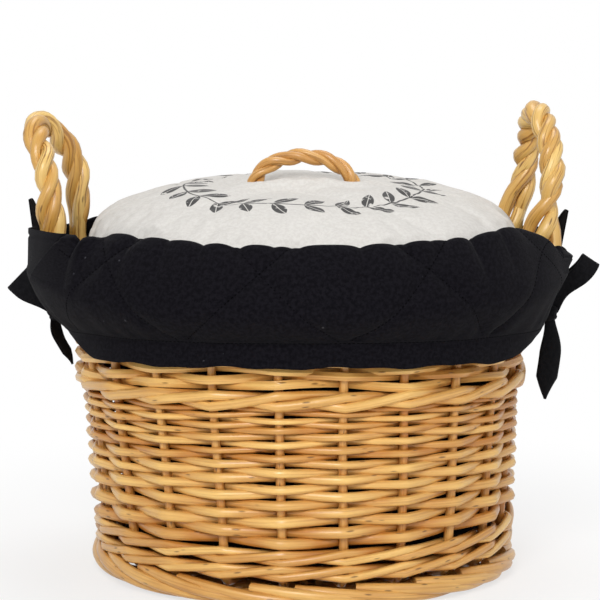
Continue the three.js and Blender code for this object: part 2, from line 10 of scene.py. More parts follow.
import bmesh
import bpy
import numpy as np
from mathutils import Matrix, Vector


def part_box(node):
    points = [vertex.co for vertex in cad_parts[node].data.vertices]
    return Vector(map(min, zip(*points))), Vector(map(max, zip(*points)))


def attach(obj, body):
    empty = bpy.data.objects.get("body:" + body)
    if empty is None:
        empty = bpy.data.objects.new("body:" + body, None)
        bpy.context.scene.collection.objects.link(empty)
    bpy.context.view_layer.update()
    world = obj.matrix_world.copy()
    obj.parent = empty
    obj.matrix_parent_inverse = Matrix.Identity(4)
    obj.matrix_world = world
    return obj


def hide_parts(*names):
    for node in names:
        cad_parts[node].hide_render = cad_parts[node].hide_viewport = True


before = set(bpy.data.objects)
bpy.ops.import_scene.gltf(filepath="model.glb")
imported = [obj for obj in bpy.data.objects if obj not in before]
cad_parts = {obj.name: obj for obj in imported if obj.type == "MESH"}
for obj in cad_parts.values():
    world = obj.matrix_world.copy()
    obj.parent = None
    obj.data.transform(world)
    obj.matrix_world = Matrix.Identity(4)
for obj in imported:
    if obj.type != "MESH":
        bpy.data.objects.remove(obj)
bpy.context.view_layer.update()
MM = 0.001

# %% [markdown]
# ## Camera
# The photograph looks a little down on the basket from far away, so that the foot and the lid are both
# seen. A long lens keeps the near and far sides at nearly the same scale, as they are there.

# %% Camera
VIEW_ELEVATION = math.radians(9.8)
VIEW_DISTANCE = 3.0
VIEW_WIDTH = 0.330
AIM = np.array([-0.0022, 0, 0.149])


def linked(name, data):
    """A new object, put into the scene."""
    made = bpy.data.objects.new(name, data)
    bpy.context.collection.objects.link(made)
    return made


lens = bpy.data.cameras.new("camera")
lens.lens = lens.sensor_width * VIEW_DISTANCE / VIEW_WIDTH
camera = linked("camera", lens)
towards_viewer = np.array([0, -math.cos(VIEW_ELEVATION), math.sin(VIEW_ELEVATION)])
camera.location = AIM + VIEW_DISTANCE * towards_viewer
camera.rotation_euler = (math.pi / 2 - VIEW_ELEVATION, 0, 0)
bpy.context.scene.camera = camera
bpy.context.scene.view_settings.view_transform = "Standard"
print("lens of", round(lens.lens), "mm")

# %% [markdown]
# ## Small helpers for nodes
# Shader and geometry trees are both built from code. One function adds a node, sets its options and
# feeds its inputs, and gives back what comes out of it. These wires can be added and multiplied like
# numbers, each sum being a Math node, so that a tree reads from top to bottom like a recipe.


# %% Nodes and wires
class Wire:
    """What comes out of a node. A sum on it adds a Math node to its tree."""

    def __init__(self, tree, socket):
        self.tree, self.socket = tree, socket

    def __add__(self, other):
        return calc("ADD", self, other)

    def __sub__(self, other):
        return calc("SUBTRACT", self, other)

    def __rsub__(self, other):
        return calc("SUBTRACT", other, self)

    def __mul__(self, other):
        return calc("MULTIPLY", self, other)

    def __truediv__(self, other):
        return calc("DIVIDE", self, other)


def place(tree, kind, feed=None, **options):
    """Adds a node, sets its options and feeds its inputs. Gives its wires by number and by name."""
    made = tree.nodes.new(kind)
    for option, value in options.items():
        setattr(made, option, value)
    for key, value in (feed or {}).items():
        if isinstance(value, Wire):
            tree.links.new(value.socket, made.inputs[key])
        else:
            made.inputs[key].default_value = value
    wires = [Wire(tree, socket) for socket in made.outputs]
    return dict(enumerate(wires)) | {wire.socket.name: wire for wire in wires}


def calc(operation, *values, clamp=False):
    """One sum on one or two values, of which at least one is a wire."""
    tree = next(value.tree for value in values if isinstance(value, Wire))
    return place(tree, "ShaderNodeMath", dict(enumerate(values)), operation=operation, use_clamp=clamp)[0]


def join(wire, socket):
    wire.tree.links.new(wire.socket, socket)


# %% Nodes that are used often
def fade(value, low, high):
    """0 at low, 1 at high, and smooth between."""
    feed = {"Value": value, "From Min": low, "From Max": high}
    return place(value.tree, "ShaderNodeMapRange", feed, interpolation_type="SMOOTHSTEP")[0]


def blend_colour(share, first, second):
    return place(share.tree, "ShaderNodeMix", {0: share, 6: first, 7: second}, data_type="RGBA")[2]


def noise(vector, scale, **sizes):
    return place(vector.tree, "ShaderNodeTexNoise", {"Vector": vector, "Scale": scale, **sizes})


def scaled(vector, factor):
    return place(vector.tree, "ShaderNodeVectorMath", {0: vector, "Scale": factor}, operation="SCALE")[0]


def length_of(vector):
    return place(vector.tree, "ShaderNodeVectorMath", {0: vector}, operation="LENGTH")["Value"]


def parts_of(vector):
    """A vector's wires X, Y and Z."""
    return place(vector.tree, "ShaderNodeSeparateXYZ", {0: vector})


def vector_of(x, y, *z):
    return place(x.tree, "ShaderNodeCombineXYZ", dict(enumerate((x, y, *z))))[0]


def own_place(tree):
    return place(tree, "ShaderNodeTexCoord")["Object"]


def group_tree(name, kind, inputs, outputs):
    """A node group with named sockets: the tree, the wires it takes, and the sockets it gives."""
    tree = bpy.data.node_groups.new(name, kind)
    for direction, sockets in (("INPUT", inputs), ("OUTPUT", outputs)):
        for label, socket in sockets.items():
            tree.interface.new_socket(label, in_out=direction, socket_type="NodeSocket" + socket)
    return tree, place(tree, "NodeGroupInput"), tree.nodes.new("NodeGroupOutput").inputs


# %% [markdown]
# ## Willow finish
# Peeled willow is pale and satin, with fine streaks along the rod, warm blotches, small brown knots and
# a tone of its own for each rod. The streaks must follow the rod round every bend, so the material reads
# a coordinate that travels with the rod: its place in the section, and its distance from the butt.
# On the side, the crests get a painted highlight, paler than the hollows, which get painted shade.

# %% Willow grain group
STREAKS, BLOTCHES, KNOTS = (900, 900, 22), (130, 130, 34), (260, 260, 60)
KNOT_BROWN, KNOT_SHARE = (0.12, 0.045, 0.012, 1), 0.75
CRACK_BROWN = (0.30, 0.125, 0.025, 1)
KNOT_EDGE, KNOT_CORE = 0.17, 0.06
CRACK_EDGE, CRACK_CORE = 0.46, 0.36
SMOOTHEST, ROUGHER = 0.22, 0.2
willow_grain, taken, given = group_tree(
    "willow grain",
    "ShaderNodeTree",
    {"Rod Space": "Vector", "Tone": "Float", "Deep": "Color", "Pale": "Color", "Cracks": "Float"},
    {"Color": "Color", "Roughness": "Float", "Height": "Float"},
)


def along_rod(repeats):
    """The rod's space, with so many repeats to the metre across the rod and along it."""
    return place(willow_grain, "ShaderNodeMapping", {0: taken["Rod Space"], 3: repeats})[0]


streak = noise(along_rod(STREAKS), 1.0, Detail=3)[0]
blotch = noise(along_rod(BLOTCHES), 1.0, Detail=2)[0]
knot_cells = place(willow_grain, "ShaderNodeTexVoronoi", {"Vector": along_rod(KNOTS), "Scale": 1.0})
knots = fade(knot_cells["Distance"], KNOT_EDGE, KNOT_CORE)
tone = calc("ADD", taken["Tone"], (streak + blotch - 1.0) * 0.8, clamp=True)
plain = blend_colour(tone, taken["Deep"], taken["Pale"])
knotted = blend_colour(knots * KNOT_SHARE, plain, KNOT_BROWN)
crack = fade(streak, CRACK_EDGE, CRACK_CORE) * taken["Cracks"]
join(blend_colour(crack, knotted, CRACK_BROWN), given["Color"])
join(streak * ROUGHER + SMOOTHEST, given["Roughness"])
join(streak + knots, given["Height"])
print("willow grain nodes:", len(willow_grain.nodes))

# %% Willow materials
STAKE_SLOPE, STAKE_RING = 0.0921, 0.1064
HOLLOW, CREST = 0.0015, 0.0068


def new_material(name, **sockets):
    """A material with a Principled shader, and plain values on its sockets."""
    made = bpy.data.materials.new(name)
    made.use_nodes = True
    shader = made.node_tree.nodes["Principled BSDF"]
    for label, value in sockets.items():
        shader.inputs[label.replace("_", " ")].default_value = value
    return made, made.node_tree, shader


def raise_surface(shader, height, strength, distance):
    feed = {"Height": height, "Strength": strength, "Distance": distance}
    join(place(height.tree, "ShaderNodeBump", feed)[0], shader.inputs["Normal"])


def crest_share(tree):
    """1 on the crests of the side's weave, which stand out from the ring of stakes, and 0 in its hollows.
    Painted highlight goes on the crests, painted shade in the hollows.
    """
    spot = parts_of(own_place(tree))
    reach = calc("SQRT", spot["X"] * spot["X"] + spot["Y"] * spot["Y"])
    return fade(reach - (spot["Z"] * STAKE_SLOPE + STAKE_RING), HOLLOW, CREST)


def willow_material(name, deep, pale, cracks, crest_highlight_hollow_shade=0.0):
    made, tree, shader = new_material(name, Specular_IOR_Level=0.55)
    space = place(tree, "ShaderNodeAttribute", attribute_name="rod_space")["Vector"]
    tone = place(tree, "ShaderNodeAttribute", attribute_name="rod_tone")["Fac"]
    # Painted light: the side's crests get a paler tone as a painted highlight, and its hollows a deeper tone
    # as painted shade.
    if crest_highlight_hollow_shade:
        tone = tone + (crest_share(tree) - 0.5) * crest_highlight_hollow_shade
    feed = {"Rod Space": space, "Tone": tone, "Deep": deep, "Pale": pale, "Cracks": cracks}
    grain = place(tree, "ShaderNodeGroup", feed, node_tree=willow_grain)
    join(grain["Color"], shader.inputs["Base Color"])
    join(grain["Roughness"], shader.inputs["Roughness"])
    raise_surface(shader, grain["Height"], strength=0.35, distance=0.0005)
    print("material:", name)
    return made


side_willow = willow_material("side willow", (0.52, 0.21, 0.036, 1), (0.90, 0.57, 0.18, 1), 0.2, crest_highlight_hollow_shade=0.35)
handle_willow = willow_material("handle willow", (0.58, 0.29, 0.055, 1), (0.88, 0.61, 0.21, 1), 0.8)
lid_handle_willow = willow_material("lid handle willow", (0.48, 0.20, 0.04, 1), (0.76, 0.44, 0.14, 1), 0.5)

# %% [markdown]
# ## Rods from Geometry Nodes
# Every willow piece is a rod swept along a path, so one tree makes them all. It turns chains of edges
# into curves, sweeps a circle along them with the rod's own thickness at each point, closes the cut
# ends, and stores the coordinate that the grain follows. A little noise keeps the rods from looking
# turned on a lathe. The result becomes a plain mesh, because the export needs real faces.


# %% Stored values and finish
def stored(shape, name, value, kind="FLOAT"):
    """The shape, with a value stored on its points."""
    feed = {"Geometry": shape, "Name": name, "Value": value}
    return place(shape.tree, "GeometryNodeStoreNamedAttribute", feed, data_type=kind, domain="POINT")[0]


def recalled(tree, name, kind="FLOAT"):
    return place(tree, "GeometryNodeInputNamedAttribute", {"Name": name}, data_type=kind)[0]


def dressed(shape, material):
    """Makes repeats into real faces and gives them their material."""
    real = place(shape.tree, "GeometryNodeRealizeInstances", {0: shape})[0]
    return place(shape.tree, "GeometryNodeSetMaterial", {"Geometry": real, "Material": material})[0]


# %% Rod tree
LUMPS_PER_METRE = 110.0
TONE_SHIFT = 37.0
rod_tree, taken, given = group_tree(
    "swept rods",
    "GeometryNodeTree",
    {"Paths": "Geometry", "Sides": "Int", "Unevenness": "Float", "Material": "Material"},
    {"Rods": "Geometry"},
)
curves = place(rod_tree, "GeometryNodeMeshToCurve", {0: taken["Paths"]})[0]
curves = stored(curves, "rod_along", place(rod_tree, "GeometryNodeSplineParameter")["Length"])
ring = place(rod_tree, "GeometryNodeCurvePrimitiveCircle", {"Resolution": taken["Sides"], "Radius": 1.0})[0]
ring = stored(ring, "rod_section", place(rod_tree, "GeometryNodeInputPosition")[0], "FLOAT_VECTOR")
thickness = recalled(rod_tree, "rod_radius")
sweeping = {"Curve": curves, "Profile Curve": ring, "Scale": thickness, "Fill Caps": True}
swept = place(rod_tree, "GeometryNodeCurveToMesh", sweeping)[0]
section = parts_of(scaled(recalled(rod_tree, "rod_section", "FLOAT_VECTOR"), thickness))
along = recalled(rod_tree, "rod_along") + recalled(rod_tree, "rod_tone") * TONE_SHIFT
space = vector_of(section["X"], section["Y"], along)
grained = stored(swept, "rod_space", space, "FLOAT_VECTOR")
lumps = (noise(space, LUMPS_PER_METRE, Detail=2.0)[0] - 0.5) * taken["Unevenness"]
push = scaled(place(rod_tree, "GeometryNodeInputNormal")[0], lumps)
lumpy = place(rod_tree, "GeometryNodeSetPosition", {"Geometry": grained, "Offset": push})[0]
join(dressed(lumpy, taken["Material"]), given["Rods"])
print("rod tree nodes:", len(rod_tree.nodes))


# %% Turn paths into rods
def chains(name, rods):
    """A mesh of edge chains in metres. A rod is its points and radii in millimetres, and its tone."""
    paths, radii, tones = zip(*rods)
    counts = [len(path) for path in paths]
    starts = np.concatenate([[0], np.cumsum(counts)[:-1]])
    edges = [(start + i, start + i + 1) for start, count in zip(starts, counts) for i in range(count - 1)]
    mesh = bpy.data.meshes.new(name)
    mesh.from_pydata(np.concatenate(paths) * MM, edges, [])
    radii = np.concatenate([np.broadcast_to(radius, count) for radius, count in zip(radii, counts)]) * MM
    for label, values in (("rod_radius", radii), ("rod_tone", np.repeat(tones, counts))):
        stored_values = mesh.attributes.new(label, "FLOAT", "POINT").data
        stored_values.foreach_set("value", values.astype(np.float32))
    return linked(name, mesh)


def grown(name, rods, tree, sizes, sharp_degrees):
    """Runs a tree on chains of edges, and keeps the plain mesh that it makes."""
    piece = chains(name, rods)
    modifier = piece.modifiers.new("grow", "NODES")
    modifier.node_group = tree
    for item in tree.interface.items_tree:
        if item.in_out == "INPUT" and item.name in sizes:
            modifier[item.identifier] = sizes[item.name]
    graph = bpy.context.evaluated_depsgraph_get()
    shape = piece.evaluated_get(graph)
    mesh = bpy.data.meshes.new_from_object(shape, preserve_all_data_layers=True, depsgraph=graph)
    piece.modifiers.clear()
    piece.data = mesh
    mesh.shade_smooth()
    mesh.set_sharp_from_angle(angle=math.radians(sharp_degrees))
    return piece


def settle(piece, body, slot, *solids):
    """Tells the frame what a finished piece rides on, and the solids it stands for. slot is not used."""
    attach(piece, body)
    if solids:
        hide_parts(*solids)
    print(piece.name, "faces:", len(piece.data.polygons))


def sweep(name, rods, material, *solids, body="basket", slot="willow", sides=8, unevenness=0.35):
    sizes = {"Sides": sides, "Unevenness": unevenness * MM, "Material": material}
    settle(grown(name, rods, rod_tree, sizes, sharp_degrees=50), body, slot, *solids)


# %% [markdown]
# ## Stakes
# Twenty-one upright rods carry the weave. They come up from under the base in a bend, and their tops
# disappear in the rim border. Their places repeat the solids', with a small lean of their own.

# %% Stakes
TURN = 2 * math.pi
STAKE_COUNT = 21
STAKE_STEP = TURN / STAKE_COUNT
FIRST_STAKE = math.radians(264)
STAKE_DIAMETER = 5.2
STAKE_BEND = np.array([[83, 11.9], [92, 11.9], [100, 12.0], [104.5, 12.9], [107, 15]])
FOOT_RADIUS, FOOT_LEVEL = 108.0, 16.9
RIM_RADIUS, RIM_LEVEL = 121.0, 158.0
STAKE_TOP = 166.0
# The stakes' tones are scaled down by a factor: painted shade on the stakes, which stand back in the weave.
STAKE_SWAY, STAKE_PAINTED_SHADE = 0.006, 0.65
SIDE_LEAN = 2.2
chance = np.random.default_rng(21)


def stake_radius(height):
    share = (np.asarray(height, float) - FOOT_LEVEL) / (RIM_LEVEL - FOOT_LEVEL)
    return FOOT_RADIUS + (RIM_RADIUS - FOOT_RADIUS) * share


def on_ring(radius, angle, height):
    return np.stack(np.broadcast_arrays(radius * np.cos(angle), radius * np.sin(angle), height), axis=-1)


def smooth_share(value):
    value = np.clip(value, 0, 1)
    return value * value * (3 - 2 * value)


def bell(value, width):
    """A soft bump: 1 where the value is 0, and next to nothing two widths away."""
    return np.exp(-((value / width) ** 2))


def rod_tones(count, spread=0.18):
    return np.clip(chance.normal(0.5, spread, count), 0.02, 0.98)


def leaning(points):
    """The side stands a little to the left of the foot, more and more towards the top."""
    return points - SIDE_LEAN * smooth_share((points[..., 2:] - 20) / 120) * np.array([1, 0, 0])


stakes = []
upright = np.linspace(FOOT_LEVEL + 1, STAKE_TOP, 26)
radius = np.concatenate([STAKE_BEND[:, 0], stake_radius(upright)])
height = np.concatenate([STAKE_BEND[:, 1], upright])
taper = np.linspace(1.04, 0.94, len(height)) * STAKE_DIAMETER / 2
for index, tone in enumerate(rod_tones(STAKE_COUNT, 0.15) * STAKE_PAINTED_SHADE):
    angle = FIRST_STAKE + index * STAKE_STEP
    sway = STAKE_SWAY * np.sin(height / 30 + chance.uniform(0, 6)) * np.clip((height - 30) / 60, 0, 1)
    stakes.append((leaning(on_ring(radius, angle + sway, height)), taper, tone))
sweep("stake_rods", stakes, side_willow, *[f"stake_{index + 1:02d}" for index in range(STAKE_COUNT)])

# %% [markdown]
# ## Side weave
# Single rods go in front of one stake and behind the next. With an odd number of stakes the rows
# alternate by themselves, so the weave is one long spiral, cut into rods that overlap out of sight behind
# a stake. The rods are thick near the foot and thin near the top, and each row lies on the one below.
# The rows ride up a little at the front and back, which the photograph shows as nearly level lines.

# %% Over and under
POINTS_PER_STAKE = 12
BACK_STAKE = 10
ROW_LIFT = 7.5
SHARPNESS = 0.9995


def over_under(turns):
    """+1 in front of even stakes, -1 behind odd ones, with a bend that is sharp at the stake."""
    return np.arcsin(SHARPNESS * np.cos(math.pi * turns)) / math.asin(SHARPNESS)


def woven_points(turns, height, reach):
    angle = FIRST_STAKE + turns * STAKE_STEP
    lifted = height + ROW_LIFT * np.sin(angle) ** 2 * smooth_share((height - 32) / 90)
    return leaning(on_ring(stake_radius(lifted) + reach, angle, lifted))


def waves(own, *pairs):
    """A rod's own waves up and down: each has a size and a number of radians from stake to stake."""
    return sum(size * np.sin(own * quickness + chance.uniform(0, 6)) for size, quickness in pairs)


def cut_rods(total, shortest, longest):
    """Where the rods of a spiral begin and end, in stakes. They meet behind a stake."""
    cuts = [0]
    while cuts[-1] < total - longest:
        cuts.append(cuts[-1] + 2 * int(chance.integers(shortest // 2, longest // 2)))
    return list(zip(cuts, cuts[1:] + [total]))


# %% Side weave
RANDING_FILL, RANDING_SWING = 0.62, 0.8


def randing(bottom, top, low_pitch, high_pitch, loose):
    def pitch_at(height):
        return low_pitch + (high_pitch - low_pitch) * ((height - bottom) / (top - bottom))

    heights, step = [bottom], 1 / POINTS_PER_STAKE
    while heights[-1] < top:
        heights.append(heights[-1] + pitch_at(heights[-1]) * step / STAKE_COUNT)
    heights = np.array(heights)
    turns = np.arange(len(heights)) * step
    rods = []
    for begin, end in cut_rods(int(turns[-1]), shortest=16, longest=28):
        tail = chance.choice([0.25, 0.25, 0.5])
        own = np.arange(begin - tail, end + tail, step)
        middle = np.interp(own, turns, pitch_at(heights)) * RANDING_FILL
        radius = middle * np.linspace(1.12, 0.88, len(own)) * chance.uniform(0.94, 1.05)
        near_end = np.clip(1 - np.minimum(own - own[0], own[-1] - own) / tail, 0, 1)
        reach = (STAKE_DIAMETER / 2 + middle) * RANDING_SWING * over_under(own + 1) - 2 * near_end
        wander = waves(own, (1.0, 0.9), (0.8, 2.3))
        height = np.interp(own, turns, heights) + loose * middle * wander
        rods.append((woven_points(own + BACK_STAKE, height, reach), radius, rod_tones(1)[0]))
    return rods


side_rods = randing(bottom=34.4, top=104.5, low_pitch=5.3, high_pitch=2.45, loose=0.18)
sweep("side_weave_rods", side_rods, side_willow, "side_weave")
top_rods = randing(bottom=113.4, top=151.5, low_pitch=4.3, high_pitch=3.4, loose=0.4)
sweep("top_weave_rods", top_rods, side_willow, "top_weave", sides=6)

# %% [markdown]
# ## Wales
# A wale locks the stakes at the foot and below the liner's hem. Three rods take turns: each passes in
# front of two stakes and behind the third, and slopes over the other two, like a flat rope.

# %% Wales
ROUND_RISE, STRAND_SLOPE, WALE_SWING = 1.9, 0.96, 0.97


def waling(bottom, rounds, diameter, loose):
    """Level rounds of three rods. Each goes once round and ends behind the stake where it began."""
    levels, reaches = np.array([0.0, -0.5, 0.5]), np.array([-1.0, 1.0, 1.0])
    rods, tail = [], 0.25
    own = np.arange(-tail, STAKE_COUNT + tail, 1 / POINTS_PER_STAKE)
    stake = np.floor(own).astype(int)
    here, there, part = stake % 3, (stake + 1) % 3, own - stake
    slope = levels[here] + (levels[there] - levels[here]) * part
    swing = reaches[here] + (reaches[there] - reaches[here]) * (0.75 * part + 0.25 * smooth_share(part))
    for level in range(rounds):
        for strand in range(3):
            radius = diameter / 2 * np.linspace(1.08, 0.9, len(own)) * chance.uniform(0.93, 1.06)
            wander = waves(own, (0.6, 1.3), (0.4, 2.7))
            height = bottom + diameter * (ROUND_RISE * level + STRAND_SLOPE * slope) + loose * wander
            reach = (STAKE_DIAMETER + diameter) / 2 * WALE_SWING * swing
            placed = own + BACK_STAKE + strand + level
            rods.append((woven_points(placed, height, reach), radius, rod_tones(1)[0]))
    return rods


lower_rods = waling(bottom=19.8, rounds=2, diameter=4.7, loose=0.7)
sweep("lower_wale_rods", lower_rods, side_willow, "lower_wale")
upper_rods = waling(bottom=108.6, rounds=1, diameter=5.3, loose=1.2)
sweep("upper_wale_rods", upper_rods, side_willow, "upper_wale")

# %% [markdown]
# ## Foot and rim borders
# The foot is a rope-like ring of thick rods. Each starts with a cut butt outside, above the floor,
# slopes down round the ring and vanishes under its neighbours. The rim border is made the same way,
# and the liner hides it except beside the handles.

# %% Foot and rim
# The border rods' tones are scaled down by a factor: painted shade, darkening the foot where less light
# reaches it.
BORDER_STAKES, BORDER_PAINTED_SHADE = 4.2, 0.8


def border_rods(ring, level, half_width, half_height, diameter, begin_degrees, sweep_degrees, climb):
    """Rods laid round a ring. Those at the left begin higher by climb."""
    rods, share = [], np.linspace(0, 1, 40)
    for index, tone in enumerate(rod_tones(STAKE_COUNT) * BORDER_PAINTED_SHADE):
        start = FIRST_STAKE + (index + chance.uniform(0.1, 0.5)) * STAKE_STEP
        angle = start + share * (BORDER_STAKES + chance.uniform(-0.3, 0.3)) * STAKE_STEP
        turn = np.radians(begin_degrees + chance.uniform(-8, 8) - sweep_degrees * share)
        raised = climb * (1 - share) ** 2 * max(0, -math.cos(start)) ** 2
        height = level + half_height * np.sin(turn) + raised
        thick = diameter / 2 * np.linspace(1.06, 0.86, len(share)) * chance.uniform(0.95, 1.05)
        rods.append((on_ring(ring + half_width * np.cos(turn), angle, height), thick, tone))
    return rods


foot = {"ring": 107.8, "level": 6.9, "half_width": 6.2, "half_height": 3.5, "diameter": 6.3}
foot_rods = border_rods(**foot, begin_degrees=74, sweep_degrees=250, climb=5.0)
sweep("foot_rods", foot_rods, side_willow, "foot_border", sides=10)
rim = {"ring": 121, "level": 165.2, "half_width": 5.2, "half_height": 4.2, "diameter": 5.4}
rim_rods = border_rods(**rim, begin_degrees=100, sweep_degrees=270, climb=0.0)
sweep("rim_rods", rim_rods, side_willow, "rim_border")

# %% [markdown]
# ## Woven base
# Underneath, a spiral of rods fills the base round a cross of thicker sticks. It is seen only when the
# basket is tipped, but it is what the basket stands on. The lid's hidden disc is woven the same way.

# %% Woven discs
DISC_SPOKES = 23
DISC_MIDDLE, SPOKE_START = 13.0, 4.0
WEAVER_SWING, WEAVER_FILL = 0.42, 0.47


def ring_angles(count):
    return np.arange(count) * TURN / count


def woven_disc(radius, level, weaver, spoke_reach, spoke):
    """A spiral weaver over and under an odd number of spokes, and those spokes."""
    rows = int((radius - DISC_MIDDLE) / weaver)
    turns = np.arange(0, rows * DISC_SPOKES, 0.125)
    ring = DISC_MIDDLE + weaver * turns / DISC_SPOKES
    weave = on_ring(ring, turns * TURN / DISC_SPOKES, level + over_under(turns) * weaver * WEAVER_SWING)
    size = int(len(turns) / max(1, rows // 3))
    cuts = range(0, len(turns) - size // 2, size)
    rods = [(weave[cut : cut + size + 1], weaver * WEAVER_FILL, rod_tones(1)[0]) for cut in cuts]
    out = np.linspace(SPOKE_START, spoke_reach, 16)
    for angle, tone in zip(ring_angles(DISC_SPOKES), rod_tones(DISC_SPOKES)):
        rods.append((on_ring(out, angle, level), spoke / 2, tone))
    return rods


def base_sticks(radius, level, diameter, spacing, count):
    """Two sets of sticks that cross, one set over the other."""
    rods = []
    for quarter in range(2):
        for place_in_set, tone in enumerate(rod_tones(count)):
            offset = (place_in_set - (count - 1) / 2) * spacing
            reach = np.linspace(-1, 1, 24) * math.sqrt(radius**2 - offset**2)
            height = level + (0.5 - quarter) * diameter * 0.9
            flat = np.stack(np.broadcast_arrays(reach, offset, height), axis=-1)
            rods.append((flat if quarter == 0 else flat[:, [1, 0, 2]], diameter / 2, tone))
    return rods


base_rods = woven_disc(radius=97.5, level=6.4, weaver=4.3, spoke_reach=98, spoke=3.6)
sweep("base_weave_rods", base_rods, side_willow, "woven_base", sides=6)
cross_low, cross_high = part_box("base_cross")
cross_level = (cross_low.z + cross_high.z) / 2 / MM
cross_rods = base_sticks(radius=88, level=cross_level, diameter=4.4, spacing=8, count=3)
sweep("base_cross_rods", cross_rods, side_willow, "base_cross", sides=6)

# %% [markdown]
# ## Handles
# Each side handle is three thick rods twisted into a rope and bent into an arch. The strands open where
# they go down beside the rim. The lid's small handle is twisted the same way from thinner rods.

# %% Twisted rods
STRANDS = 3
TWIST_END = 0.3


def travelled(path):
    """How far along a path each of its points is."""
    return np.concatenate([[0], np.cumsum(np.linalg.norm(np.diff(path, axis=0), axis=1))])


def unit(vector):
    return vector / np.linalg.norm(vector, axis=-1, keepdims=True)


def twisted(middle, reference, tones, diameter, pitch, fan, closeness, begin=0.0, inward=0.0):
    """Rods twisted round a middle line. At both ends they run straighter and part by fan millimetres."""
    along = unit(np.gradient(middle, axis=0))
    across = unit(reference - along * (along @ reference)[:, None])
    side = np.cross(across, along)
    run = travelled(middle)
    share = run / run[-1]
    near_end = smooth_share(1 - np.minimum(share, 1 - share) / TWIST_END)
    wound = np.concatenate([[0], np.cumsum(np.diff(run) * (1 - 0.6 * near_end[1:]))])
    rods = []
    for index in range(STRANDS):
        own = share * 17 + 2.3 * index + begin
        turn = TURN * (wound / pitch + index / STRANDS) + begin + 0.4 * np.sin(own)
        out = closeness * diameter / (2 * math.sin(math.pi / STRANDS)) * (1 + 0.1 * np.sin(1.7 * own + 1))
        out = out * (1 - 0.5 * near_end)
        apart = fan * (index - (STRANDS - 1) / 2) * near_end
        aside, ahead = out * np.cos(turn) + 0.5 * apart, out * np.sin(turn) + apart - inward * near_end
        points = middle + side * aside[:, None] + across * ahead[:, None]
        thick = diameter / 2 * (1 + 0.07 * np.sin(1.3 * own) + 0.06 * np.sin(3.1 * own))
        rods.append((points, thick, tones[index]))
    return rods


def arch(share, half_spread, bottom, spring, crown):
    """Two straight legs, and half a round over them."""
    leg = 0.25
    turn = math.pi * np.clip((share - leg) / (1 - 2 * leg), 0, 1)
    up = bottom + (spring - bottom) * np.clip(np.minimum(share, 1 - share) / leg, 0, 1)
    return -half_spread * np.cos(turn), up + (crown - spring) * np.sin(turn)


# %% Side handles
RIM_TOP = 172.0
HANDLE_SET_BACK = math.radians(12)
HANDLE_ROD = 7.5
HANDLE_LEG_RADIUS, HANDLE_HALF_SPREAD = 137.1, 32.0
HANDLES = {
    "left": {"rise": 78, "lean": 17, "pitch": 40, "fan": 3.5, "begin": 0.4, "inward": -3.0},
    "right": {"rise": 84, "lean": -1, "pitch": 33, "fan": 7.5, "begin": 2.1, "inward": 10.0},
}
UPWARD = np.array([0, 0, 1.0])


def compass(angle):
    """Which way is outward and which way is sideways at a place on the rim."""
    across, along = math.cos(angle), math.sin(angle)
    return np.array([across, along, 0]), np.array([-along, across, 0])


handle_share = np.linspace(0, 1, 90)
handle_angles = {"right": HANDLE_SET_BACK, "left": math.pi - HANDLE_SET_BACK}
for side, angle in handle_angles.items():
    outward, sideways = compass(angle)
    own = HANDLES[side]
    crown = own["rise"] - HANDLE_ROD
    across, height = arch(handle_share, HANDLE_HALF_SPREAD, RIM_TOP - 8, RIM_TOP + 28, RIM_TOP + crown)
    lean = own["lean"] * np.clip((height - RIM_TOP) / crown, 0, 1) ** 3
    reach = math.sqrt(HANDLE_LEG_RADIUS**2 - HANDLE_HALF_SPREAD**2) + lean
    middle = np.outer(reach, outward) + np.outer(across, sideways) + np.outer(height, UPWARD)
    twist = {key: own[key] for key in ("pitch", "fan", "begin", "inward")}
    strands = twisted(middle, outward, rod_tones(STRANDS, 0.15), HANDLE_ROD, closeness=0.8, **twist)
    solids = [f"handle_{side}_rod_{number}" for number in (1, 2, 3)]
    look = {"slot": "handle_willow", "sides": 14, "unevenness": 1.1}
    sweep(f"handle_{side}_rods", strands, handle_willow, *solids, **look)

# %% [markdown]
# ## Cloth finishes
# The liner is dull black cotton that has picked up a little lint, and the lid's cover is unbleached
# cotton. Both are woven, so one group makes the threads and another scatters the lint. They read a map in
# metres that was laid on the flat cloth, so the threads bend with the folds.

# %% Cloth groups
THREAD_RELIEF = 0.35
SLUBS_PER_METRE, MOTTLES_PER_METRE = 420.0, 430.0
STRAYS_PER_METRE, STRAY = 700.0, 0.0014
cloth_threads, taken, given = group_tree(
    "cloth threads",
    "ShaderNodeTree",
    {"Cloth": "Vector", "Threads per Metre": "Float"},
    {"Height": "Float", "Mottle": "Float"},
)
phase = parts_of(scaled(taken["Cloth"], taken["Threads per Metre"] * TURN))
crossing = calc("SINE", phase["X"]) * calc("SINE", phase["Y"])
slubs = noise(taken["Cloth"], SLUBS_PER_METRE, Detail=3)[0]
join(crossing * THREAD_RELIEF + slubs, given["Height"])
join(noise(taken["Cloth"], MOTTLES_PER_METRE, Detail=4, Roughness=0.75)[0], given["Mottle"])

lint, taken, given = group_tree(
    "lint",
    "ShaderNodeTree",
    {"Cloth": "Vector", "Specks per Metre": "Float", "Size": "Float"},
    {"Mask": "Float"},
)
strayed = scaled(noise(taken["Cloth"], STRAYS_PER_METRE)["Color"], STRAY)
moved = place(lint, "ShaderNodeVectorMath", {0: taken["Cloth"], 1: strayed}, operation="ADD")[0]
cells = place(lint, "ShaderNodeTexVoronoi", {"Vector": moved, "Scale": taken["Specks per Metre"]})
join(fade(cells["Distance"], taken["Size"], 0.0), given["Mask"])
print("cloth groups:", cloth_threads.name, "and", lint.name)

# %% Cloth materials
SPECKS_PER_METRE = 70.0


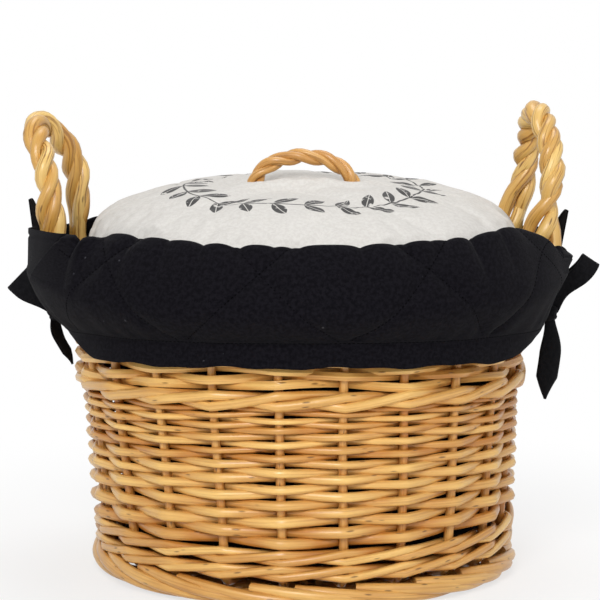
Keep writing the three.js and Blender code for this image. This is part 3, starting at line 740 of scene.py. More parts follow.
def cloth_material(name, dark, light, speck, threads, bump, lint_share, lint_size, **sockets):
    made, tree, shader = new_material(name, **sockets)
    cloth = place(tree, "ShaderNodeUVMap", uv_map="cloth")[0]
    woven = {"Cloth": cloth, "Threads per Metre": threads}
    weave = place(tree, "ShaderNodeGroup", woven, node_tree=cloth_threads)
    scattered = {"Cloth": cloth, "Specks per Metre": SPECKS_PER_METRE, "Size": lint_size}
    specks = place(tree, "ShaderNodeGroup", scattered, node_tree=lint)["Mask"]
    colour = blend_colour(fade(weave["Mottle"], 0.4, 0.6), dark, light)
    colour = blend_colour(specks * lint_share, colour, speck)
    join(colour, shader.inputs["Base Color"])
    raise_surface(shader, weave["Height"], strength=bump, distance=0.0004)
    print("material:", name)
    return made, tree, shader, colour


black_cotton, *_ = cloth_material(
    "black cotton",
    dark=(0.0030, 0.0027, 0.0042, 1),
    light=(0.0075, 0.0069, 0.0096, 1),
    speck=(0.13, 0.13, 0.15, 1),
    threads=1100,
    bump=0.35,
    lint_share=0.6,
    lint_size=0.065,
    Roughness=0.92,
    Specular_IOR_Level=0.06,
    Sheen_Weight=0.02,
    Sheen_Roughness=0.45,
)
black_tape, *_ = cloth_material(
    "black tape",
    dark=(0.0035, 0.0035, 0.0045, 1),
    light=(0.007, 0.007, 0.0085, 1),
    speck=(0.12, 0.12, 0.13, 1),
    threads=900,
    bump=0.5,
    lint_share=0.4,
    lint_size=0.03,
    Roughness=0.85,
    Specular_IOR_Level=0.1,
    Sheen_Weight=0.02,
    Sheen_Roughness=0.5,
)

# %% [markdown]
# ## Printed leaf ring
# The lid carries a print in black ink. A ring of plain leaves on a stem goes round the handle here: a
# shape that repeats by angle, so a few sums on the place seen from above draw it crisply at any size.

# %% Leaf ring group
LEAVES = {"Ring Radius": 0.066, "Leaf Count": 24.0, "Leaf Length": 0.0175, "Leaf Width": 0.0036}
LEAF_LEAN = math.radians(50)
HALF_RIB, HALF_STEM, INK_EDGE = 0.0001, 0.0004, 0.0003
DRY_SPOTS_PER_METRE = 260.0
leaf_ring, taken, given = group_tree(
    "leaf ring",
    "ShaderNodeTree",
    {"Place": "Vector", **dict.fromkeys(LEAVES, "Float")},
    {"Ink": "Float"},
)
spot = parts_of(taken["Place"])
reach = length_of(vector_of(spot["X"], spot["Y"]))
turned = calc("ARCTAN2", spot["Y"], spot["X"]) / TURN
cell_share = calc("FRACT", (turned + 1.0) * taken["Leaf Count"])
cell_length = reach * TURN / taken["Leaf Count"]
beside = calc("ABSOLUTE", reach - taken["Ring Radius"])
leaves = []
for shift in (0.0, 1.0):
    ahead = (cell_share + shift) * cell_length
    length = ahead * math.cos(LEAF_LEAN) + beside * math.sin(LEAF_LEAN)
    half = calc("ABSOLUTE", beside * math.cos(LEAF_LEAN) - ahead * math.sin(LEAF_LEAN))
    share = length / taken["Leaf Length"]
    bow = share * (1.0 - share) * 4.0
    blade = fade(bow * taken["Leaf Width"] - half, 0.0, INK_EDGE)
    leaves.append(blade * fade(half, HALF_RIB, 0.00035))
stem = fade(beside, 0.0007, HALF_STEM)
drawn = calc("MAXIMUM", calc("MAXIMUM", *leaves), stem)
dry = noise(taken["Place"], DRY_SPOTS_PER_METRE, Detail=3)[0]
join(drawn * fade(dry, 0.3, 0.42), given["Ink"])
print("leaf ring nodes:", len(leaf_ring.nodes))

# %% Cream cotton
INK, INK_SHARE = (0.012, 0.012, 0.014, 1), 0.93
cream_cotton, tree, shader, cream = cloth_material(
    "cream cotton",
    dark=(0.655, 0.63, 0.595, 1),
    light=(0.715, 0.695, 0.66, 1),
    speck=(0.45, 0.40, 0.33, 1),
    threads=900,
    bump=0.3,
    lint_share=0.35,
    lint_size=0.025,
    Roughness=0.9,
    Specular_IOR_Level=0.25,
    Sheen_Weight=0.1,
)
ink = place(tree, "ShaderNodeGroup", {"Place": own_place(tree), **LEAVES}, node_tree=leaf_ring)["Ink"]
join(blend_colour(ink * INK_SHARE, cream, INK), shader.inputs["Base Color"])

# %% [markdown]
# ## Cloth from grids
# A folded or padded cloth is a grid: one direction goes round the basket and the other along the cloth
# from edge to edge. Building it from its own curves keeps the seams exactly where a sewer puts them,
# and gives each corner its place on the flat cloth for the thread map.


# %% Curves and grids
def curve_through(points, shares):
    """A smooth curve through points[:, k], at shares from 0 to k - 1."""
    first = 2 * points[:, :1] - points[:, 1:2]
    last = 2 * points[:, -1:] - points[:, -2:-1]
    padded = np.concatenate([first, points, last], axis=1)
    index = np.minimum(shares.astype(int), points.shape[1] - 2)
    part = (shares - index)[None, :, None]
    a, b, c, d = (padded[:, index + step] for step in range(4))
    bend = (2 * a - 5 * b + 4 * c - d) * part**2 + (3 * b - a - 3 * c + d) * part**3
    return 0.5 * (2 * b + (c - a) * part + bend)


def even_shares(points, count):
    """Shares that divide the middle one of these curves into equal lengths, and those lengths."""
    fine = np.linspace(0, points.shape[1] - 1, 2000)
    length = travelled(curve_through(points[len(points) // 2][None], fine)[0])
    even = np.linspace(0, length[-1], count)
    return np.interp(even, length, fine), even


def grid_normals(grid, closed=False):
    """Which way each point of a grid faces."""
    ahead = np.roll(grid, -1, 0) - np.roll(grid, 1, 0) if closed else np.gradient(grid, axis=0)
    normal = np.cross(ahead, np.gradient(grid, axis=1))
    return normal / np.maximum(np.linalg.norm(normal, axis=-1, keepdims=True), 1e-9)


def turned_cloth(line, columns, rows):
    """A line turned round the middle: its angles, its lengths, the grid, and which way that faces."""
    shares, lengths = even_shares(line[None], rows)
    curve = curve_through(line[None], shares)[0]
    angle = ring_angles(columns)
    grid = on_ring(curve[None, :, 0], angle[:, None], curve[None, :, 1])
    facing = -grid_normals(grid, closed=True)
    facing[:, 0] = UPWARD
    return angle, lengths, grid, facing


def flat_map(across, along):
    return np.stack(np.broadcast_arrays(across, along), axis=-1)


# %% Cloth pieces
def weighed(piece, name, weights):
    """Gives each point of a piece its weight in a vertex group."""
    group = piece.vertex_groups.new(name=name)
    for index, weight in enumerate(weights.reshape(-1)):
        group.add([index], float(weight), "REPLACE")
    return group.name


def cloth_piece(name, grid, cloth, material, closed=False, flip=False, thickness=0.0, full=None):
    """A mesh from a grid in millimetres, with its thread map. full is the share of the thickness."""
    rows, columns = grid.shape[:2]
    index = np.arange(rows * columns).reshape(rows, columns)
    if closed:
        index = np.concatenate([index, index[:1]])
        step = cloth[-1] - cloth[-2]
        cloth = np.concatenate([cloth, (cloth[-1] + step)[None]])
    order = [(0, 0), (1, 0), (1, 1), (0, 1)]
    if flip:
        order = order[::-1]
    high, wide = index.shape
    corners = [index[a : high - 1 + a, b : wide - 1 + b].ravel() for a, b in order]
    spread = [cloth[a : high - 1 + a, b : wide - 1 + b].reshape(-1, 2) for a, b in order]
    mesh = bpy.data.meshes.new(name)
    mesh.from_pydata(grid.reshape(-1, 3) * MM, [], np.stack(corners, axis=1).tolist())
    uv = mesh.uv_layers.new(name="cloth")
    uv.data.foreach_set("uv", (np.stack(spread, axis=1).reshape(-1) * MM).astype(np.float32))
    joined = bmesh.new()
    joined.from_mesh(mesh)
    bmesh.ops.remove_doubles(joined, verts=joined.verts, dist=1e-6)
    joined.to_mesh(mesh)
    joined.free()
    mesh.materials.append(material)
    mesh.shade_smooth()
    piece = linked(name, mesh)
    if thickness:
        wall = piece.modifiers.new("wall", "SOLIDIFY")
        wall.thickness = thickness * MM
        wall.offset = -1
        if full is not None:
            wall.vertex_group = weighed(piece, "full thickness", full)
    return piece


# %% [markdown]
# ## Quilting
# Diamond quilting holds the wadding. The cloth is pinched along each line of stitches and swells between
# them. The same sums serve the skirt, the liner bag and the lid, each with its own size of diamond.


# %% Quilting
def quilt(across, along, width, height, swell, reach):
    """How far quilted cloth stands out, and how near each point is to a line of stitches."""
    up, down = across / width + along / height, across / width - along / height
    apart = width * height / math.hypot(width, height)
    first, second = (np.abs(q - np.round(q)) * apart for q in (up, down))
    near = np.minimum(first, second)
    run = np.where(first < second, down, up) * apart
    pucker = 0.14 * swell * np.sin(run * 0.85) * np.exp(-near / 7)
    return swell * (1 - np.exp(-near / reach)) + pucker, near


# %% [markdown]
# ## Swelling by cloth simulation
# Wadding pushes the cloth out between the lines where it is sewn down. Blender's cloth does the same: a
# coarse copy of the piece is held along its seams and blown up a little for twenty frames. How far it
# moved is then drawn smoothly on the finer grid, so the puckers come from the cloth and not from a formula.

# %% Blow up a coarse copy
PRESSURE, BENDING, FRAMES = 4.0, 2.0, 20


def blown_up(places, faces, held, growth):
    """How far each point of a cloth moves, in millimetres, when it is blown up. held is 1 where it can't."""
    mesh = bpy.data.meshes.new("swelling")
    mesh.from_pydata(places * MM, [], faces)
    piece = linked("swelling", mesh)
    sewn = weighed(piece, "sewn", held)
    settings = piece.modifiers.new("swell", "CLOTH").settings
    settings.vertex_group_mass = sewn
    settings.use_pressure = True
    settings.uniform_pressure_force = PRESSURE
    settings.shrink_min = -growth
    settings.bending_stiffness = BENDING
    settings.effector_weights.gravity = 0
    for moment in range(1, FRAMES + 1):
        bpy.context.scene.frame_set(moment)
    shape = piece.evaluated_get(bpy.context.evaluated_depsgraph_get()).data
    after = np.empty(len(places) * 3, np.float32)
    shape.vertices.foreach_get("co", after)
    bpy.data.objects.remove(piece)
    bpy.data.meshes.remove(mesh)
    bpy.context.scene.frame_set(1)
    return after.reshape(-1, 3) / MM - places


# %% Swelling on the fine grid
def drawn_finer(field, steps):
    """A coarse field of vectors on a grid with so many steps between its lines."""
    rows, columns = (np.arange((size - 1) * step + 1) / step for size, step in zip(field.shape, steps))
    field = curve_through(field, columns)
    return curve_through(field.swapaxes(0, 1), rows).swapaxes(0, 1)


def evened_out(moved):
    """A field of vectors, each drawn half-way towards its neighbours."""
    before, after = np.roll(moved, 1, 0), np.roll(moved, -1, 0)
    before[0], after[-1] = moved[0], moved[-1]
    moved = (2 * moved + before + after) / 4
    moved[:, 1:-1] = (2 * moved[:, 1:-1] + moved[:, :-2] + moved[:, 2:]) / 4
    return moved


def swell_cloth(grid, sewn, steps, growth, furthest, closed=False, evened=0):
    """How far each point of a grid moves when the cloth swells. sewn is 1 where it can't move."""
    coarse, held = grid[:: steps[0], :: steps[1]], sewn[:: steps[0], :: steps[1]]
    points = coarse.reshape(-1, 3).round(3)
    places, first, spot = np.unique(points, axis=0, return_index=True, return_inverse=True)
    spot = spot.reshape(coarse.shape[:2])
    ring = np.concatenate([spot, spot[:1]]) if closed else spot
    corners = np.stack([ring[:-1, :-1], ring[:-1, 1:], ring[1:, 1:], ring[1:, :-1]], axis=-1)
    faces = [list(dict.fromkeys(face)) for face in corners.reshape(-1, 4).tolist()]
    moved = blown_up(places, faces, held.reshape(-1)[first], growth)
    length = np.linalg.norm(moved, axis=1, keepdims=True)
    moved *= np.minimum(1, furthest / np.maximum(length, 1e-6))
    most, mean = float(length.max()), float(length.mean())
    print("cloth swelled by up to", round(most, 1), "mm, on average", round(mean, 1))
    moved = moved[spot]
    for _ in range(evened):
        moved = evened_out(moved)
    finer = drawn_finer(np.concatenate([moved, moved[:1]]) if closed else moved, steps)
    return finer[:-1] if closed else finer


# %% [markdown]
# ## Skirt
# The liner folds over the rim in two halves, front and back. Each rises in a gathered collar against the
# lid, bulges out over the handle roots and tucks in to a hem. At the handles it is slit: there it
# leaves the rim and stands up outside the handle as a thin flap. The lines repeat the solids' lines, drawn
# finer.

# %% Gathers and hem
MIDDLES = {"front": 1.5 * math.pi, "back": 0.5 * math.pi}
HEM_DEPTH = 11.0
FRONT_NOTCHES = np.radians([-54.5, -43, -33, -24, -15, -7, -1, 13, 24, 31, 42.5, 52])
BACK_NOTCHES = np.radians(np.arange(-60, 61, 15) + chance.uniform(-4, 4, 9))
NOTCHES = np.concatenate([MIDDLES["front"] + FRONT_NOTCHES, MIDDLES["back"] + BACK_NOTCHES])
NOTCH_DEPTHS = chance.uniform(0.35, 0.9, len(NOTCHES))
NOTCH_DEPTHS[[0, 10]] = 1.3, 1.5


def gathers(angle, width):
    """How far the gathered edge drops: rounded puckers with sharp notches of that width between them."""
    apart = np.abs((angle[:, None] - NOTCHES + math.pi) % TURN - math.pi)
    return np.sum(NOTCH_DEPTHS * np.exp(-apart / width), axis=1)


def hem_ending(turn):
    """1 at the ends of a hem, where it narrows to the tie, and 0 along its middle."""
    return 1 - smooth_share((turn - 0.38) / 0.45)


# %% Skirt lines
HALF_LINER = 4.5 / 2
SEAT = RIM_TOP + 0.3 + HALF_LINER
SKIRT_RADIUS = 148.4
SKIRT_WIDEST = RIM_TOP - 7
WEAVE_REACH, HEM_GAP = 8.3, 1.2
RIGHT_HANDLE_BULGE = math.radians(328)


def folded_points(angle, turn):
    """The points of the skirt's lines where it folds over the rim, from inside it down to the hem."""
    over_handle = 3 * bell(angle - RIGHT_HANDLE_BULGE, 0.15)
    fullness = 1 - np.cos(angle) ** 10
    rise = 9 + np.where(np.sin(angle) < 0, 16, -1) * fullness + over_handle
    gather = 1.9 * (0.25 - gathers(angle, 0.035)) * (0.35 + 0.65 * rise / 24)
    hem = RIM_TOP - 35 + 9 * np.sin(angle) ** 2
    ending = hem_ending(turn)
    fuller = np.where(np.cos(angle) < 0, 2.5, -5.0) * np.cos(angle) ** 2
    hem_radius = stake_radius(hem) + WEAVE_REACH + HEM_GAP + HALF_LINER
    wave = 0.8 * np.sin(13 * angle + 1) + 0.5 * np.sin(29 * angle)
    points = [
        (112.7, SEAT),
        (120, SEAT),
        (122.2 + 0.5 * gather, SEAT + rise / 2),
        (130.2, SEAT + rise + gather),
        (138.2 + 0.4 * gather + fuller / 2, SEAT + 0.7 * rise + gather / 2),
        (SKIRT_RADIUS - HALF_LINER + 0.1 * gather + fuller, SKIRT_WIDEST + 11),
        (SKIRT_RADIUS + fuller, SKIRT_WIDEST),
        (SKIRT_RADIUS - 7 + fuller, (SKIRT_WIDEST + hem) / 2),
        (hem_radius, hem + 1.5 - 1.5 * ending),
        (hem_radius - 0.9 - 1.6 * ending + 0.5 * wave, hem - HEM_DEPTH + 0.8 * wave + 7.5 * ending),
    ]
    points = [flat_map(*np.broadcast_arrays(*point, angle)[:2]) for point in points]
    return np.stack(points, axis=1), (SKIRT_RADIUS + fuller)[:, None]


def skirt_points(angle, turn, slit, slit_rise, slit_lean):
    """The points of the skirt's lines. Where it is slit they stand up from the widest place."""
    folded, widest = folded_points(angle, turn)
    standing = folded.copy()
    share = np.arange(10) / 6
    upper = share < 1
    slit, top = slit[:, None], slit_rise[:, None]
    standing[:, upper, 0] = widest - slit_lean[:, None] * (1 - share[upper])
    standing[:, upper, 1] = RIM_TOP + top + (SKIRT_WIDEST - RIM_TOP - top) * share[upper]
    radius = folded[..., 0] + (standing[..., 0] - folded[..., 0]) * slit
    height = folded[..., 1] + (standing[..., 1] - folded[..., 1]) * slit**4
    return np.stack([radius, height], axis=-1)


# %% Slits beside the handles
STANDING = {
    "front": {"half": np.radians([43, 22]), "fold": np.radians([7, 20])},
    "back": {"half": np.radians([17, 17]), "fold": np.radians([9, 9])},
}
LEFT_DEGREES = [0, 12, 25, 38, 46]
LEFT_RISES, LEFT_LEANS = [13, 17, 21, 24, 25.5], [0, 0.5, 4.5, 6.5, 9]
RIGHT_DEGREES, RIGHT_RISES = [0, 12, 22, 26, 30, 36, 44], [3, 4.5, 9, 17, 22, 26, 26]


def slit_share(name, angle, turn):
    """1 where the cloth stands up outside a handle, and 0 where it folds over the rim."""
    half, fold = (np.where(np.cos(angle) < 0, *STANDING[name][part]) for part in ("half", "fold"))
    return 1 - smooth_share((turn - half) / fold)


def slit_shape(name, angle, turn):
    """How high the cloth stands above the rim outside a handle, and how far its top leans in there."""
    at_left = np.cos(angle) < 0
    if name == "front":
        degrees = np.degrees(turn)
        left_rise = np.interp(degrees, LEFT_DEGREES, LEFT_RISES)
        right_rise = np.interp(degrees, RIGHT_DEGREES, RIGHT_RISES)
        left_lean = np.interp(degrees, LEFT_DEGREES, LEFT_LEANS)
        right_lean = np.interp(degrees, [12, 30], [0, 2])
        return np.where(at_left, left_rise, right_rise), np.where(at_left, left_lean, right_lean)
    tongue = 1 - smooth_share((turn - 0.035) / 0.1)
    return 8 + np.where(at_left, 20, 14) * tongue, np.where(at_left, -4.5, -5.5) * tongue


# %% Folds of the front skirt
LEFT_FOLD, LEFT_FOLD_SLOPE, LEFT_FOLD_LEVEL = math.radians(197.3), math.radians(0.51), 174.6


def front_folds(angle, height, slit, slit_rise, shares):
    """The lap beside the left handle, the seam under the flaps' tops, and the full right corner."""
    past_fold = (angle - LEFT_FOLD - LEFT_FOLD_SLOPE * (height - LEFT_FOLD_LEVEL)) * SKIRT_RADIUS
    lap = smooth_share((past_fold + 0.9) / 1.8) * np.exp(-np.clip(past_fold, 0, None) / 30)
    lap = 3.2 * lap - 1.6 * bell(past_fold + 2.0, 1.3)
    below_top = RIM_TOP + slit_rise[:, None] - height
    lap = lap * smooth_share((height - 160) / 14) * smooth_share((below_top + 0.5) / 3)
    top_seam = 0.7 * bell(below_top - 4, 0.8) * smooth_share(8 * slit - 7)
    corner = bell(angle - TURN, 0.12) * bell(height - RIM_TOP - 4, 7)
    return lap - top_seam + 4.5 * corner * smooth_share(shares / 2)


# %% Skirt halves
SKIRT_COLUMNS, SKIRT_ROWS = 442, 79
HEM_SHARE = 8
QUILT_WIDTH, QUILT_HEIGHT = 98.0, 96.0
QUILT_START = math.radians(-28.6)
SKIRT_WALL, SKIRT_INSET = 3.0, 1.0
SKIRT_SWELL, SWELL_KEPT = 3.0, 0.6


def skirt_half(name, start, end):
    edge = 0.3 / SKIRT_RADIUS
    angle = np.linspace(start + edge, end - edge, SKIRT_COLUMNS)
    turn = np.minimum(angle - start, end - angle)
    slit = slit_share(name, angle, turn)
    slit_rise, slit_lean = slit_shape(name, angle, turn)
    lines = skirt_points(angle, turn, slit, slit_rise, slit_lean)
    shares, lengths = even_shares(lines, SKIRT_ROWS)
    line = curve_through(lines, shares)
    grid = on_ring(line[..., 0], angle[:, None], line[..., 1])
    grid = grid - SKIRT_INSET * grid_normals(grid)
    facing = -grid_normals(grid)
    up = np.broadcast_to(np.interp(HEM_SHARE, shares, lengths) - lengths, grid.shape[:2])
    front, turn, slit = (angle - MIDDLES[name])[:, None], turn[:, None], slit[:, None]

    # The panels swell between the quilting, but not at the hem, the collar's seat, the edges or the flaps.
    across = (front - QUILT_START) * SKIRT_RADIUS
    swell, near = quilt(across, up, QUILT_WIDTH, QUILT_HEIGHT, SKIRT_SWELL, reach=11)
    above_hem = smooth_share(up / 8)
    free = smooth_share((shares - 1.5) / 1.5)[None, :] * above_hem
    at_edge = smooth_share(1 - (turn - edge) / 0.03)
    flap = smooth_share(2 * slit) * smooth_share((grid[..., 2] - 154) / 10)
    sewn = np.maximum(np.maximum(bell(near, 2.6), 1 - free), np.maximum(at_edge, flap))
    moved = swell_cloth(grid, sewn, (3, 2), growth=0.012, furthest=6.0, evened=2)
    inland = 0.15 + 0.85 * smooth_share((turn - 0.6) / 0.35)
    moved = SWELL_KEPT * moved * inland[..., None]

    # The stitches pull the cloth in, the gathers crease it below the collar, and the hem ruffles it.
    valley = (bell(near, 4.5) + 0.7 * np.exp(-near / 1.2)) * inland
    groove = 2.0 - 1.7 * hem_ending(turn)
    stand = -groove * np.exp(-np.abs(up - 0.5) / 1.1) - valley * free * (1 - smooth_share(1.5 * slit))
    below_notch = smooth_share((shares - 2.6) / 0.6) * (1 - smooth_share((shares - 3.4) / 2.6))
    crease = -0.8 * gathers(angle, 0.022)[:, None] * below_notch[None, :] * (1 - slit)
    ruffle = 0.5 * np.sin(front * 47 + 2 * np.sin(front * 9)) * np.exp(-np.abs(up - 6) / 8) * above_hem
    stand = stand + crease + ruffle
    if name == "front":
        stand = stand + front_folds(angle[:, None], grid[..., 2], slit, slit_rise, shares)
    grid = grid + moved + facing * stand[..., None]

    # The flaps have one layer of cloth, so they get a fifth of the wall.
    cloth = flat_map(front * SKIRT_RADIUS, lengths[None, :])
    full = 1 - 0.8 * smooth_share(4 * slit) * smooth_share(6.5 - shares)[None, :]
    wall = {"flip": True, "thickness": SKIRT_WALL, "full": full}
    piece = cloth_piece(f"skirt_{name}_cloth", grid, cloth, black_cotton, **wall)
    settle(piece, "basket", "black_cotton", f"skirt_{name}", f"hem_{name}")
    return grid, front[:, 0], shares, up[0]


right, left = handle_angles["right"], handle_angles["left"]
skirt = {"back": skirt_half("back", right, left), "front": skirt_half("front", left, right + TURN)}

# %% [markdown]
# ## Liner bag
# Inside the basket the same quilted cotton makes a bag. It shows when the lid is lifted, and between the
# rods of the side as a dark ground.

# %% Liner bag
BAG_FLOOR = [[0, 20.0], [30, 20], [62, 20.2], [86, 20.6], [93.5, 22.5], [96, 28]]
BAG_WALL = [[98.5, 60], [102, 100], [105.5, 140], [107.6, 165], [108.6, 175], [111, 176.9], [114, 176.6]]
BAG_RADIUS, BAG_DIAMONDS = 98.0, 10
angle, lengths, grid, facing = turned_cloth(np.array(BAG_FLOOR + BAG_WALL), columns=240, rows=120)
across = angle[:, None] * QUILT_WIDTH * BAG_DIAMONDS / TURN
swell, _ = quilt(across, lengths[None, :], QUILT_WIDTH, QUILT_HEIGHT, swell=2.6, reach=10)
swell = swell * smooth_share((lengths - 40) / 40)[None, :]
grid = grid + facing * swell[..., None]
cloth = flat_map(angle[:, None] * BAG_RADIUS, lengths[None, :])
bag = cloth_piece("liner_bag", grid, cloth, black_cotton, closed=True, flip=True, thickness=3.6)
settle(bag, "basket", "black_cotton", "liner_wall", "liner_floor")

# %% [markdown]
# ## Stitches
# Short thread stitches run along the quilting lines and above the hem. They repeat along a path, so a
# small tree lays them: it divides each path into steps and sets a thread on every step.

# %% Stitch tree
STITCH = {"Step": 2.4 * MM, "Stitch Length": 1.5 * MM, "Thread Diameter": 0.5 * MM}
stitch_tree, taken, given = group_tree(
    "stitch rows",
    "GeometryNodeTree",
    {"Paths": "Geometry", **dict.fromkeys(STITCH, "Float"), "Material": "Material"},
    {"Stitches": "Geometry"},
)
seams = place(stitch_tree, "GeometryNodeMeshToCurve", {0: taken["Paths"]})[0]
stepping = {"Curve": seams, "Length": taken["Step"]}
steps = place(stitch_tree, "GeometryNodeResampleCurve", stepping, mode="LENGTH")[0]
tangent = place(stitch_tree, "GeometryNodeInputTangent")[0]
heading = place(stitch_tree, "FunctionNodeAlignRotationToVector", {"Vector": tangent}, axis="X")[0]
bead = place(stitch_tree, "GeometryNodeMeshUVSphere", {"Segments": 6, "Rings": 5, "Radius": 0.5})[0]
size = vector_of(taken["Stitch Length"], taken["Thread Diameter"], taken["Thread Diameter"])
laying = {"Points": steps, "Instance": bead, "Rotation": heading, "Scale": size}
laid = place(stitch_tree, "GeometryNodeInstanceOnPoints", laying)[0]
join(dressed(laid, taken["Material"]), given["Stitches"])
print("stitch tree nodes:", len(stitch_tree.nodes))

# %% Stitch rows
THREAD_BLACK = (0.0012, 0.0012, 0.0014, 1)


def skirt_seams(grid, front, shares, up):
    """Paths on the finished skirt: its quilting lines, and the seam above its hem."""
    rows = np.flatnonzero((up > 4) & (shares > 1.6))
    paths = []
    for family in (1, -1):
        for count in range(-6, 8):
            diamonds = count - family * up[rows] / QUILT_HEIGHT
            spots = QUILT_START + diamonds * QUILT_WIDTH / SKIRT_RADIUS
            inside = (spots > front[0] + 0.6) & (spots < front[-1] - 0.4)
            if inside.sum() > 6:
                column = np.interp(spots[inside], front, np.arange(len(front)))
                whole, part = column.astype(int), (column % 1)[:, None]
                row = rows[inside]
                paths.append(grid[whole, row] * (1 - part) + grid[whole + 1, row] * part)
    seam_row = int(np.argmin(np.abs(up - 1.5)))
    return paths + [grid[4:-4, seam_row]]


black_thread, *_ = new_material(
    "black thread", Roughness=0.9, Base_Color=THREAD_BLACK, Specular_IOR_Level=0.0
)
stitching = {**STITCH, "Material": black_thread}
for name in ("front", "back"):
    seams = [(path, 0.1, 0.5) for path in skirt_seams(*skirt[name])]
    thread = grown(f"skirt_{name}_stitches", seams, stitch_tree, stitching, sharp_degrees=180)
    settle(thread, "basket", "black_cotton")

# %% [markdown]
# ## Padded lid
# The lid is a woven disc under a thick pad, in a cream cover that is drawn together underneath with
# elastic. The pad is softly crowned, quilted in faint diamonds, and dented where the handle goes through a
# slit in the cover.

# %% Lid cover
LID_TOP = [[0, 213.3], [22, 213.0], [46, 211.9], [70, 209.5], [90, 205.7], [103, 201.2], [111.6, 195.4]]
LID_EDGE = [[116.2, 188.6], [117.2, 183], [115, 178.9], [110, 177.4], [103, 177.3], [98.5, 177.4]]
LID_QUILT = 96.0
LID_HANDLE_HALF = 27.0
angle, lengths, grid, facing = turned_cloth(np.array(LID_TOP + LID_EDGE), columns=320, rows=151)
x, y = grid[..., 0], grid[..., 1]
on_top = 1 - smooth_share((lengths - 100) / 22)[None, :]
below = smooth_share((lengths - 132) / 12)[None, :]
swell, near = quilt(x + 11, y + 16, LID_QUILT, LID_QUILT, swell=2.0, reach=15)
at_leg = sum(np.exp(-((x - leg) ** 2 + y**2) / 90) for leg in (-LID_HANDLE_HALF, LID_HANDLE_HALF))
sewn = np.maximum(np.maximum(0.9 * bell(near, 3) * on_top, below), at_leg)
moved = swell_cloth(grid, np.clip(sewn, 0, 1), (2, 3), growth=0.01, furthest=4.5, closed=True)
seam = -0.5 * np.exp(-near / 2.2) * on_top - 3.0 * at_leg
between = smooth_share((44 - np.abs(x)) / 14) * on_top
slot_fold = between * (4.6 * bell(y + 10, 7) - 2.4 * bell(y, 4.5))
soft_creases = 0.45 * np.sin(x * 0.11 + 1.3 * np.sin(y * 0.05)) * np.sin(y * 0.13 + x * 0.03) * on_top
gathered = np.sin(46 * angle + 3 * np.sin(5 * angle))[:, None]
stand = seam + slot_fold + soft_creases + 0.35 * gathered * (1 - on_top) * (1 - below)
grid = grid + moved + facing * stand[..., None]
grid[..., 2] += 0.5 * (1 + gathered) * below
cloth = grid[..., :2] + lengths[None, :, None] * 0.01
lid_pad = cloth_piece("lid_pad", grid, cloth, cream_cotton, closed=True, flip=True, thickness=1.5)
settle(lid_pad, "lid", "cream_cotton", "lid_cover", "lid_wadding")

# %% Lid disc, handle and elastic
ELASTIC_RADIUS, ELASTIC_LEVEL = 97.1, 178.3
disc_rods = woven_disc(radius=108, level=183.0, weaver=4.2, spoke_reach=108, spoke=3.4)
sweep("lid_disc_rods", disc_rods, side_willow, "lid_weave", body="lid", sides=6)

across, height = arch(np.linspace(0, 1, 70), LID_HANDLE_HALF, bottom=181.0, spring=212.1, crown=228.9)
middle = np.stack(np.broadcast_arrays(across, 0.0, height), axis=-1)
backward = np.array([0, 1.0, 0])
strands = twisted(middle, backward, rod_tones(STRANDS, 0.1), 4.3, pitch=36, fan=1.5, closeness=0.95)
solids = [f"lid_handle_rod_{number}" for number in (1, 2, 3)]
look = {"body": "lid", "slot": "handle_willow", "sides": 12, "unevenness": 0.5}
sweep("lid_handle_rods", strands, lid_handle_willow, *solids, **look)

angle, tube_turn = ring_angles(360)[:, None], np.linspace(0, TURN, 9)[None, :]
tube = 0.9 + 0.18 * np.sin(90 * angle)
height = ELASTIC_LEVEL + tube * np.sin(tube_turn)
grid = on_ring(ELASTIC_RADIUS + tube * np.cos(tube_turn), angle, height)
elastic = cloth_piece("lid_elastic_tape", grid, flat_map(angle * 97, tube_turn), black_tape, closed=True)
settle(elastic, "lid", "black_ribbon", "lid_elastic")

# %% [markdown]
# ## Ties and tab
# A ribbon closes the liner under each handle: a knot, a flattened loop that stands out and a tail that
# hangs down. Ribbons are strips along a line, with a width that turns as they go. A small folded tab of
# plain tape stands beside the left handle.

# %% Ribbons and knots
THREAD_MAP_WIDTH = 13.0
KNOT_SIZE = np.array([4.6, 5.6, 5.0])


def strip(name, path, wide, width, cup, thickness=0.8):
    """A ribbon along a path, and its length. wide says which way it is wide, and width how wide."""
    shares = np.linspace(-0.5, 0.5, 9)
    along = unit(np.gradient(path, axis=0))
    flat = unit(wide - along * np.sum(wide * along, axis=1, keepdims=True))
    face = np.cross(along, flat)
    lift = cup * (0.25 - shares**2) * 4
    spread = width[:, None] * shares[None, :]
    grid = path[:, None] + flat[:, None] * spread[..., None] + face[:, None] * lift[None, :, None]
    run = travelled(path)
    cloth = flat_map(run[:, None], THREAD_MAP_WIDTH * shares[None, :])
    return cloth_piece(name, grid, cloth, black_tape, thickness=thickness), run[-1]


def knot_ball(name, centre, axes):
    """A tight knot: a small ball with the ribbon's folds wound round it."""
    turn, tilt = np.meshgrid(ring_angles(28), np.linspace(0, math.pi, 15), indexing="ij")
    fold = 1 + 0.13 * np.sin(2 * turn + 3 * np.cos(tilt) * 2) * np.sin(tilt)
    ball = on_ring(np.sin(tilt), turn, np.cos(tilt))
    grid = centre + (ball * fold[..., None] * KNOT_SIZE) @ axes
    return cloth_piece(name, grid, flat_map(turn * 5, tilt * 5), black_tape, closed=True, flip=True)


# %% Ties
TIES = {
    "left": {
        "rise": 44, "bend": 0.004, "sway": 0.0, "inset": 0, "loop": 24, "loop_width": 16.5,
        "tail": 26, "tail_width": 10.5, "turn": 76, "drift": -8.5,
    },
    "right": {
        "rise": 55, "bend": 0.002, "sway": 1.6, "inset": 1.5, "loop": 33, "loop_width": 11.5,
        "tail": 46, "tail_width": 13.0, "turn": 8, "drift": -1,
    },
}
RIBBON_AT_KNOT = 6


